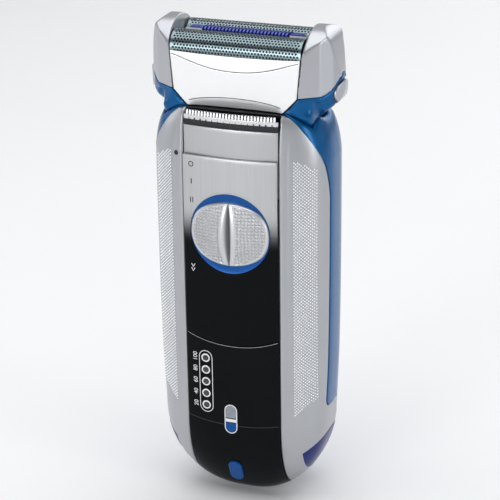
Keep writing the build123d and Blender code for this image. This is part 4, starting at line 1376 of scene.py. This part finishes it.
# ---------------------------------------------------------------------------
# the head
# ---------------------------------------------------------------------------
def relax(me, weight, steps):
    # pulls each vertex towards the middle of its neighbours, by its own weight
    nv = len(me.vertices)
    co = np.zeros(nv * 3, np.float32)
    me.vertices.foreach_get("co", co)
    co = co.reshape(-1, 3).astype(float)
    e = np.zeros(len(me.edges) * 2, np.int32)
    me.edges.foreach_get("vertices", e)
    e = e.reshape(-1, 2)
    cnt = np.bincount(e.ravel(), minlength=nv).astype(float)[:, None]
    w = weight(co)[:, None]
    for _ in range(steps):
        tot = np.stack([np.bincount(e[:, 0], co[e[:, 1], k], nv) + np.bincount(e[:, 1], co[e[:, 0], k], nv) for k in range(3)], -1)
        co = co + (tot / np.maximum(cnt, 1) - co) * w
    me.vertices.foreach_set("co", co.astype(np.float32).ravel())
    me.update()


def low_corners(co):
    # strong below the bulge and away from the middle, nothing near the seam with the arm
    z, y, x = co[:, 2] * 1000, np.abs(co[:, 1] * 1000 - SHIFT_Y), np.abs(co[:, 0] * 1000)
    return 0.5 * np.clip((138.2 - z) / 1.6, 0, 1) * np.clip((y - 3.5) / 2.5, 0, 1) * np.clip((x - 17.0) / 3.0, 0, 1)


def softened(node, name, mt, body, voxel=0.28, smooth=6, shrink=0.0, rep=None, extra=0):
    # the CAD solid with its edges rounded: a copy, remeshed evenly and relaxed
    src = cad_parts[node]
    me = src.data.copy()
    ob = bpy.data.objects.new(name, me)
    SCENE.collection.objects.link(ob)
    bm = bmesh.new()
    bm.from_mesh(me)
    bmesh.ops.remove_doubles(bm, verts=bm.verts, dist=1e-6)
    bm.to_mesh(me)
    bm.free()
    rm = ob.modifiers.new("remesh", "REMESH")
    rm.mode = "VOXEL"
    rm.voxel_size = voxel * 0.001
    rm.use_smooth_shade = True
    sm = ob.modifiers.new("smooth", "SMOOTH")
    sm.factor = 0.5
    sm.iterations = smooth
    bpy.context.view_layer.update()
    new = bpy.data.meshes.new_from_object(ob.evaluated_get(bpy.context.evaluated_depsgraph_get()))
    ob.modifiers.clear()
    ob.data = new
    new.materials.clear()
    new.materials.append(mt)
    new.polygons.foreach_set("use_smooth", [True] * len(new.polygons))
    if extra:
        relax(new, low_corners, extra)
    if shrink:
        co = np.zeros(len(new.vertices) * 3, np.float32)
        new.vertices.foreach_get("co", co)
        co = co.reshape(-1, 3)
        mid = (co.min(0) + co.max(0)) / 2
        co[:, 1:] = mid[1:] + (co[:, 1:] - mid[1:]) * (1 - shrink)
        new.vertices.foreach_set("co", co.ravel())
        new.update()
    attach(ob, body)
    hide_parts(rep or node)
    return ob


softened("head_arm_right", "arm_right_silver", M["arm"], "head", smooth=14)
softened("head_arm_left", "arm_left_silver", M["arm"], "head", smooth=14)
softened("head_yoke_right", "yoke_right_blue", M["blue"], "head", smooth=8, extra=90)
softened("head_yoke_left", "yoke_left_blue", M["blue"], "head", smooth=8, extra=90)
softened("release_button_right", "release_button_right_oval", M["arm"], "release_right", voxel=0.2, smooth=5, shrink=0.075)
softened("release_button_left", "release_button_left_oval", M["arm"], "release_left", voxel=0.2, smooth=5, shrink=0.075)


# the cassette: bright plates front and back, end blocks between them
def hex_x(z):
    return np.interp(z, [134.5, 139.4, 152.4, 162.0], [15.5, 20.1, 21.2, 22.0])


def plate(front=True):
    nz, nx = 150, 320
    z0, z1 = 134.55, 151.6
    t = edge_steps(z1 - z0, 0.3, nz)
    Z = z0 + (z1 - z0) * t
    s = edge_steps(42.0, 0.35, nx)
    U = -1 + 2 * s
    ZZ = np.repeat(Z[:, None], len(U), 1)
    # top edge dips a little between its ends
    XX = hex_x(ZZ) * U[None]
    dip = 0.55 * (1 - U[None] ** 2)
    ZZ = ZZ - dip * np.clip((ZZ - 140) / 11.6, 0, 1)
    un = XX / 21.0
    y = np.zeros_like(XX)
    # smile line: groove, and the band above it leans back
    smile_z = 150.9 - 4.3 * np.clip(1 - np.abs(un) ** 2.2, 0, 1) ** 1.35 - 0.25
    above = np.clip((ZZ - smile_z) / 0.35, 0, 1)
    y += 0.10 * np.exp(-((ZZ - smile_z) / 0.13) ** 2)
    y += above * 0.04 * np.clip(ZZ - smile_z, 0, 6)
    # frown line low down, with a lip that rolls under below it
    frown_z = 135.9 + 2.1 * np.clip(1 - (XX / 15.5) ** 2, 0, 1) ** 0.7
    low = np.clip((frown_z - ZZ) / 3.4, 0, 1)
    inside = np.clip((15.2 - np.abs(XX)) / 2.0, 0, 1)
    y += inside * (0.22 * np.clip((frown_z - ZZ) / 0.16, 0, 1) + 0.9 * low ** 1.6)
    # the face is faintly crowned
    y += 0.25 * un ** 2
    Y = -12.5 + y
    P = np.stack([XX, Y, ZZ], -1)
    du = np.gradient(P, axis=1)
    dv = np.gradient(P, axis=0)
    N = np.cross(du, dv)
    N /= np.maximum(np.linalg.norm(N, axis=-1, keepdims=True), 1e-9)
    N = np.where(N[..., 1:2] > 0, -N, N)
    inner = P.copy()
    inner[..., 1] = np.where(P[..., 2] > 142.8, -11.98, -11.35)
    inner[..., 1] = np.maximum(inner[..., 1], P[..., 1] + 0.3)
    v, f = slab(P, N, 1.0, r=0.26, inner=inner)
    if not front:
        v = v.copy()
        v[:, 1] *= -1
        f = [tuple(reversed(q)) for q in f]
    return v, f


plates = merge([plate(True), plate(False)])
ends = []
for s in (1, -1):
    for (za, zb, w) in ((140.2, 147.0, 0), (147.0, 148.5, 0)):
        x0, x1 = 19.05, min(float(hex_x(za)), float(hex_x(zb))) - 0.05
        ends.append(box_mesh(*sorted((s * x0, s * x1)), -11.3, 11.3, za, zb, r=0.2))
allp = merge([plates] + ends)
new_mesh("cassette_plates", allp[0], allp[1], M["chrome"], "cassette", rep=("cassette_frame",), angle=30)


# fine dark lines of painted shade in the grooves of the front plate
def smile_line(x):
    return 150.9 - 4.3 * max(0.0, 1 - abs(x / 21.0) ** 2.2) ** 1.35 - 0.25


def frown_line(x):
    return 135.9 + 2.1 * max(0.0, 1 - (x / 15.5) ** 2) ** 0.7


def plate_face(x, z):
    return -12.5 + 0.25 * (x / 21.0) ** 2 + 0.03


def cassette_stroke(points, width, lift, name, mt):
    v, f = stroke(points, width, lift=lift, down=0.2, yfn=plate_face)
    new_mesh(name, v, f, mt, "cassette", angle=20)


xs_ = np.linspace(-20.6, 20.6, 90)
cassette_stroke([(x, smile_line(x)) for x in xs_], 0.26, 0.035, "plate_smile_line", M["line"])
xs_ = np.linspace(-15.0, 15.0, 70)
cassette_stroke([(x, frown_line(x) + 0.05) for x in xs_], 0.24, 0.035, "plate_frown_line", M["line"])


# perforated foils: hexagonal cells round the arch
FOIL_Y, FOIL_Z, FOIL_R = 6.7, 152.0, 5.0


def foil(sign):
    px = 1.02
    py = px * math.sqrt(3) / 2
    half_x = 21.2
    leg = 1.3
    arc = math.pi * FOIL_R
    total = arc + 2 * leg
    nx = int(2 * half_x / px)
    ny = int(total / py)
    px = 2 * half_x / nx
    py = total / ny
    hole = 0.385
    verts, faces, index = [], [], {}

    def vid(u, v):
        k = (round(u, 4), round(v, 4))
        if k not in index:
            index[k] = len(verts)
            verts.append((u, v))
        return index[k]

    R = px / math.sqrt(3)
    for j in range(ny + 1):
        for i in range(nx + 1):
            cx = -half_x + (i + (0.5 if j % 2 else 0.0)) * px
            cy = j * py
            outer, inner = [], []
            for k in range(6):
                a = math.pi / 6 + math.pi / 3 * k
                # tile corners, squeezed onto the row spacing and held inside the sheet
                ox = min(max(cx + R * math.cos(a), -half_x), half_x)
                oy = cy + (2 * py / 3) * math.sin(a)
                oy = min(max(oy, 0.0), total)
                outer.append((ox, oy))
            ins = abs(cx) < half_x - px * 0.6 and py * 0.7 < cy < total - py * 0.7
            if not ins:
                poly = []
                for p in outer:
                    q = vid(*p)
                    if q not in poly:
                        poly.append(q)
                if len(poly) >= 3:
                    faces.append(tuple(poly))
                continue
            for k in range(6):
                a = math.pi / 6 + math.pi / 3 * k
                inner.append((cx + hole * math.cos(a), cy + hole * math.sin(a)))
            o = [vid(*p) for p in outer]
            n = [vid(*p) for p in inner]
            for k in range(6):
                faces.append((o[k], o[(k + 1) % 6], n[(k + 1) % 6], n[k]))
    uv = np.array(verts)

    def bend(uv, off):
        r = FOIL_R + off
        out = np.zeros((len(uv), 3))
        out[:, 0] = uv[:, 0]
        s = uv[:, 1]
        front_leg = s < leg
        back_leg = s > leg + arc
        th = (s - leg) / FOIL_R
        out[:, 1] = -r * np.cos(th)
        out[:, 2] = FOIL_Z + r * np.sin(th)
        out[front_leg, 1] = -r
        out[front_leg, 2] = FOIL_Z - (leg - s[front_leg])
        out[back_leg, 1] = r
        out[back_leg, 2] = FOIL_Z - (s[back_leg] - leg - arc)
        out[:, 1] += sign * FOIL_Y
        return out

    t = 0.10
    A = bend(uv, 0.0)
    B = bend(uv, -t)
    n = len(uv)
    edges = {}
    for q in faces:
        for k in range(len(q)):
            e = (q[k], q[(k + 1) % len(q)])
            edges[e] = edges.get(e, 0) + 1
    allf = [tuple(q) for q in faces] + [tuple(n + i for i in reversed(q)) for q in faces]
    for (a, b) in list(edges):
        if (b, a) not in edges:
            allf.append((b, a, n + a, n + b))
    return np.vstack([A, B]), allf


for (sg, nm) in ((-1, "front"), (1, "rear")):
    v, f = foil(sg)
    new_mesh("foil_%s_perforated" % nm, v, f, M["foil"], "foil_%s_body" % nm, rep=("foil_%s" % nm,), angle=50)


# middle trimmer: slanted blue blades between two plain ends
def mid_trimmer():
    parts = []
    parts.append(box_mesh(-18.5, 18.5, -1.2, 1.2, 148.2, 154.6, r=0.12))
    for s in (1, -1):
        parts.append(box_mesh(*sorted((s * 18.2, s * 20.5)), -1.2, 1.2, 152.2, 154.6, r=0.12))
    n = 0
    # blades
    for k in range(-12, 13):
        x = k * 1.16
        v, f = [], []
        lean = 0.95
        w = 0.27
        prof = [(-1.6, 154.4), (-1.6, 156.25), (-1.05, 156.9), (1.05, 156.9), (1.6, 156.25), (1.6, 154.4)]
        for sgn in (-1, 1):
            for (y, z) in prof:
                v.append((x + lean * y / 1.6 * 0.7 + sgn * w, y, z))
        m = len(prof)
        f.append(tuple(range(m)))
        f.append(tuple(reversed(range(m, 2 * m))))
        for i in range(m):
            f.append(((i + 1) % m, i, m + i, m + (i + 1) % m))
        parts.append((v, f))
    return merge(parts)


v, f = mid_trimmer()
new_mesh("middle_trimmer_blades", v, f, M["violet"], "mid_trimmer", rep=("middle_trimmer",), angle=25)


def mid_ends():
    parts = []
    for s in (1, -1):
        for k in range(9):
            x = s * (14.6 + k * 0.46)
            parts.append(box_mesh(x - 0.15, x + 0.15, -1.5, 1.5, 154.5, 156.6, r=0.04))
    return merge(parts)


v, f = mid_ends()
new_mesh("middle_trimmer_end_ribs", v, f, M["violet"], "mid_trimmer", angle=25)
bars = []
for s in (1, -1):
    bars.append(box_mesh(*sorted((s * 14.4, s * 19.8)), -1.68, -1.4, 155.0, 156.2, r=0.08))
    bars.append(box_mesh(*sorted((s * 14.4, s * 19.8)), 1.4, 1.68, 155.0, 156.2, r=0.08))
v, f = merge(bars)
new_mesh("middle_trimmer_end_bars", v, f, M["white_plastic"], "mid_trimmer", angle=25)

# ---------------------------------------------------------------------------
# plain node materials for the CAD nodes that stay
# ---------------------------------------------------------------------------
KEEP = {
    "slider_track": "satin_black", "chassis": "white_plastic", "battery_cells": "cell", "battery_tabs": "copper",
    "circuit_board": "board", "board_components": "black", "indicator_leds": "white_plastic", "light_guide": "lens",
    "charging_socket": "socket", "charging_pins": "copper", "motor_case": "steel", "motor_mount": "grey_plastic",
    "guide_rods": "steel", "drive_seal": "rubber", "pivot_posts": "grey_plastic", "motor_shaft": "steel",
    "eccentric_cam": "white_plastic", "drive_bridge": "white_plastic", "drive_pin": "steel", "switch_carriage": "grey_plastic",
    "switch_wiper": "copper", "trimmer_carrier": "satin_black", "head_drum": "satin_black", "pivot_pins": "steel",
    # the cutter blocks take the cutter steel painted dark as shade under the foils
    "release_springs": "steel", "cutter_carrier": "white_plastic", "cutter_springs": "steel", "cutter_block_front": "cutter",
    "cutter_block_rear": "cutter", "foil_clips_front": "satin_black", "foil_clips_rear": "satin_black",
}
for node, key in KEEP.items():
    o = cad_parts[node]
    o.data.materials.clear()
    o.data.materials.append(M[key])

# ---------------------------------------------------------------------------
# floor, light, camera
# ---------------------------------------------------------------------------
def floor():
    # one continuous pale sweep
    prof = []
    for y in np.linspace(-1.6, 1.6, 17):
        prof.append((y, -0.00005))
    for a in np.linspace(0, math.pi / 2, 13)[1:]:
        prof.append((1.6 + 0.8 * math.sin(a), 0.8 - 0.8 * math.cos(a)))
    prof.append((2.4, 3.0))
    v, f = [], []
    xs = np.linspace(-3.0, 3.0, 13)
    for (y, z) in prof:
        for x in xs:
            v.append((x, y, z))
    n = len(xs)
    for j in range(len(prof) - 1):
        for i in range(n - 1):
            f.append((j * n + i, j * n + i + 1, (j + 1) * n + i + 1, (j + 1) * n + i))
    me = bpy.data.meshes.new("studio_floor")
    me.from_pydata(v, [], f)
    me.polygons.foreach_set("use_smooth", [True] * len(me.polygons))
    m = material("pale_floor", (0.93, 0.93, 0.935), rough=0.75, var=0.01, scale=4, rvar=0.05)
    me.materials.append(m)
    ob = bpy.data.objects.new("studio_floor", me)
    SCENE.collection.objects.link(ob)


floor()

world = bpy.data.worlds.new("studio")
SCENE.world = world
world.use_nodes = True
bg = world.node_tree.nodes["Background"]
bg.inputs["Color"].default_value = (0.95, 0.97, 1.0, 1)
# bright round the horizon, dimmer overhead
_wt = world.node_tree
_wc = _wt.nodes.new("ShaderNodeTexCoord")
_ws = _wt.nodes.new("ShaderNodeSeparateXYZ")
_wt.links.new(_wc.outputs["Generated"], _ws.inputs[0])
_wm = _wt.nodes.new("ShaderNodeMapRange")
_wm.interpolation_type = "SMOOTHSTEP"
_wm.inputs["From Min"].default_value = 0.02
_wm.inputs["From Max"].default_value = 0.45
_wm.inputs["To Min"].default_value = 0.82
_wm.inputs["To Max"].default_value = 0.27
_wt.links.new(_ws.outputs["Z"], _wm.inputs["Value"])
_wt.links.new(_wm.outputs["Result"], bg.inputs["Strength"])


def area(name, loc, target, size, power, size_y=None, color=(1, 1, 1)):
    li = bpy.data.lights.new(name, "AREA")
    li.shape = "RECTANGLE"
    li.size = size
    li.size_y = size_y or size
    li.energy = power
    li.color = color
    ob = bpy.data.objects.new(name, li)
    SCENE.collection.objects.link(ob)
    ob.location = loc
    ob.rotation_euler = (Vector(target) - Vector(loc)).to_track_quat("-Z", "Y").to_euler()
    return ob


area("key_front", (-0.32, -1.10, 0.34), (0, 0, 0.09), 0.34, 2.9, 0.60)
area("side_right", (1.00, -0.28, 0.26), (0, 0, 0.09), 0.20, 1.9, 0.70)
area("side_left", (-1.00, -0.10, 0.40), (0, 0, 0.09), 0.30, 1.0, 0.70)
area("top_soft", (0.0, 0.0, 1.15), (0, 0, 0.1), 1.3, 10.0)
area("rim_back", (0.25, 1.0, 0.45), (0, 0, 0.1), 0.6, 2.0)

SCENE.view_settings.view_transform = "Standard"


def place_camera(az, el, f_px, dist, target, roll):
    a, e = math.radians(az), math.radians(el)
    d = Vector((math.sin(a) * math.cos(e), -math.cos(a) * math.cos(e), math.sin(e)))
    t = Vector((target[0], target[1] + SHIFT_Y, target[2])) * 0.001
    cam = bpy.data.cameras.new("camera")
    cam.lens = f_px * 36.0 / 500.0
    cam.sensor_width = 36.0
    cam.clip_start = 0.01
    ob = bpy.data.objects.new("camera", cam)
    SCENE.collection.objects.link(ob)
    rot = (-d).to_track_quat("-Z", "Y").to_matrix() @ Matrix.Rotation(math.radians(roll), 3, "Z")
    ob.matrix_world = Matrix.Translation(t + d * dist * 0.001) @ rot.to_4x4()
    SCENE.camera = ob


place_camera(20.0, 21.8, 1950, 630, (0.0, 0.0, 83.2), -0.75)

bpy.context.view_layer.update()
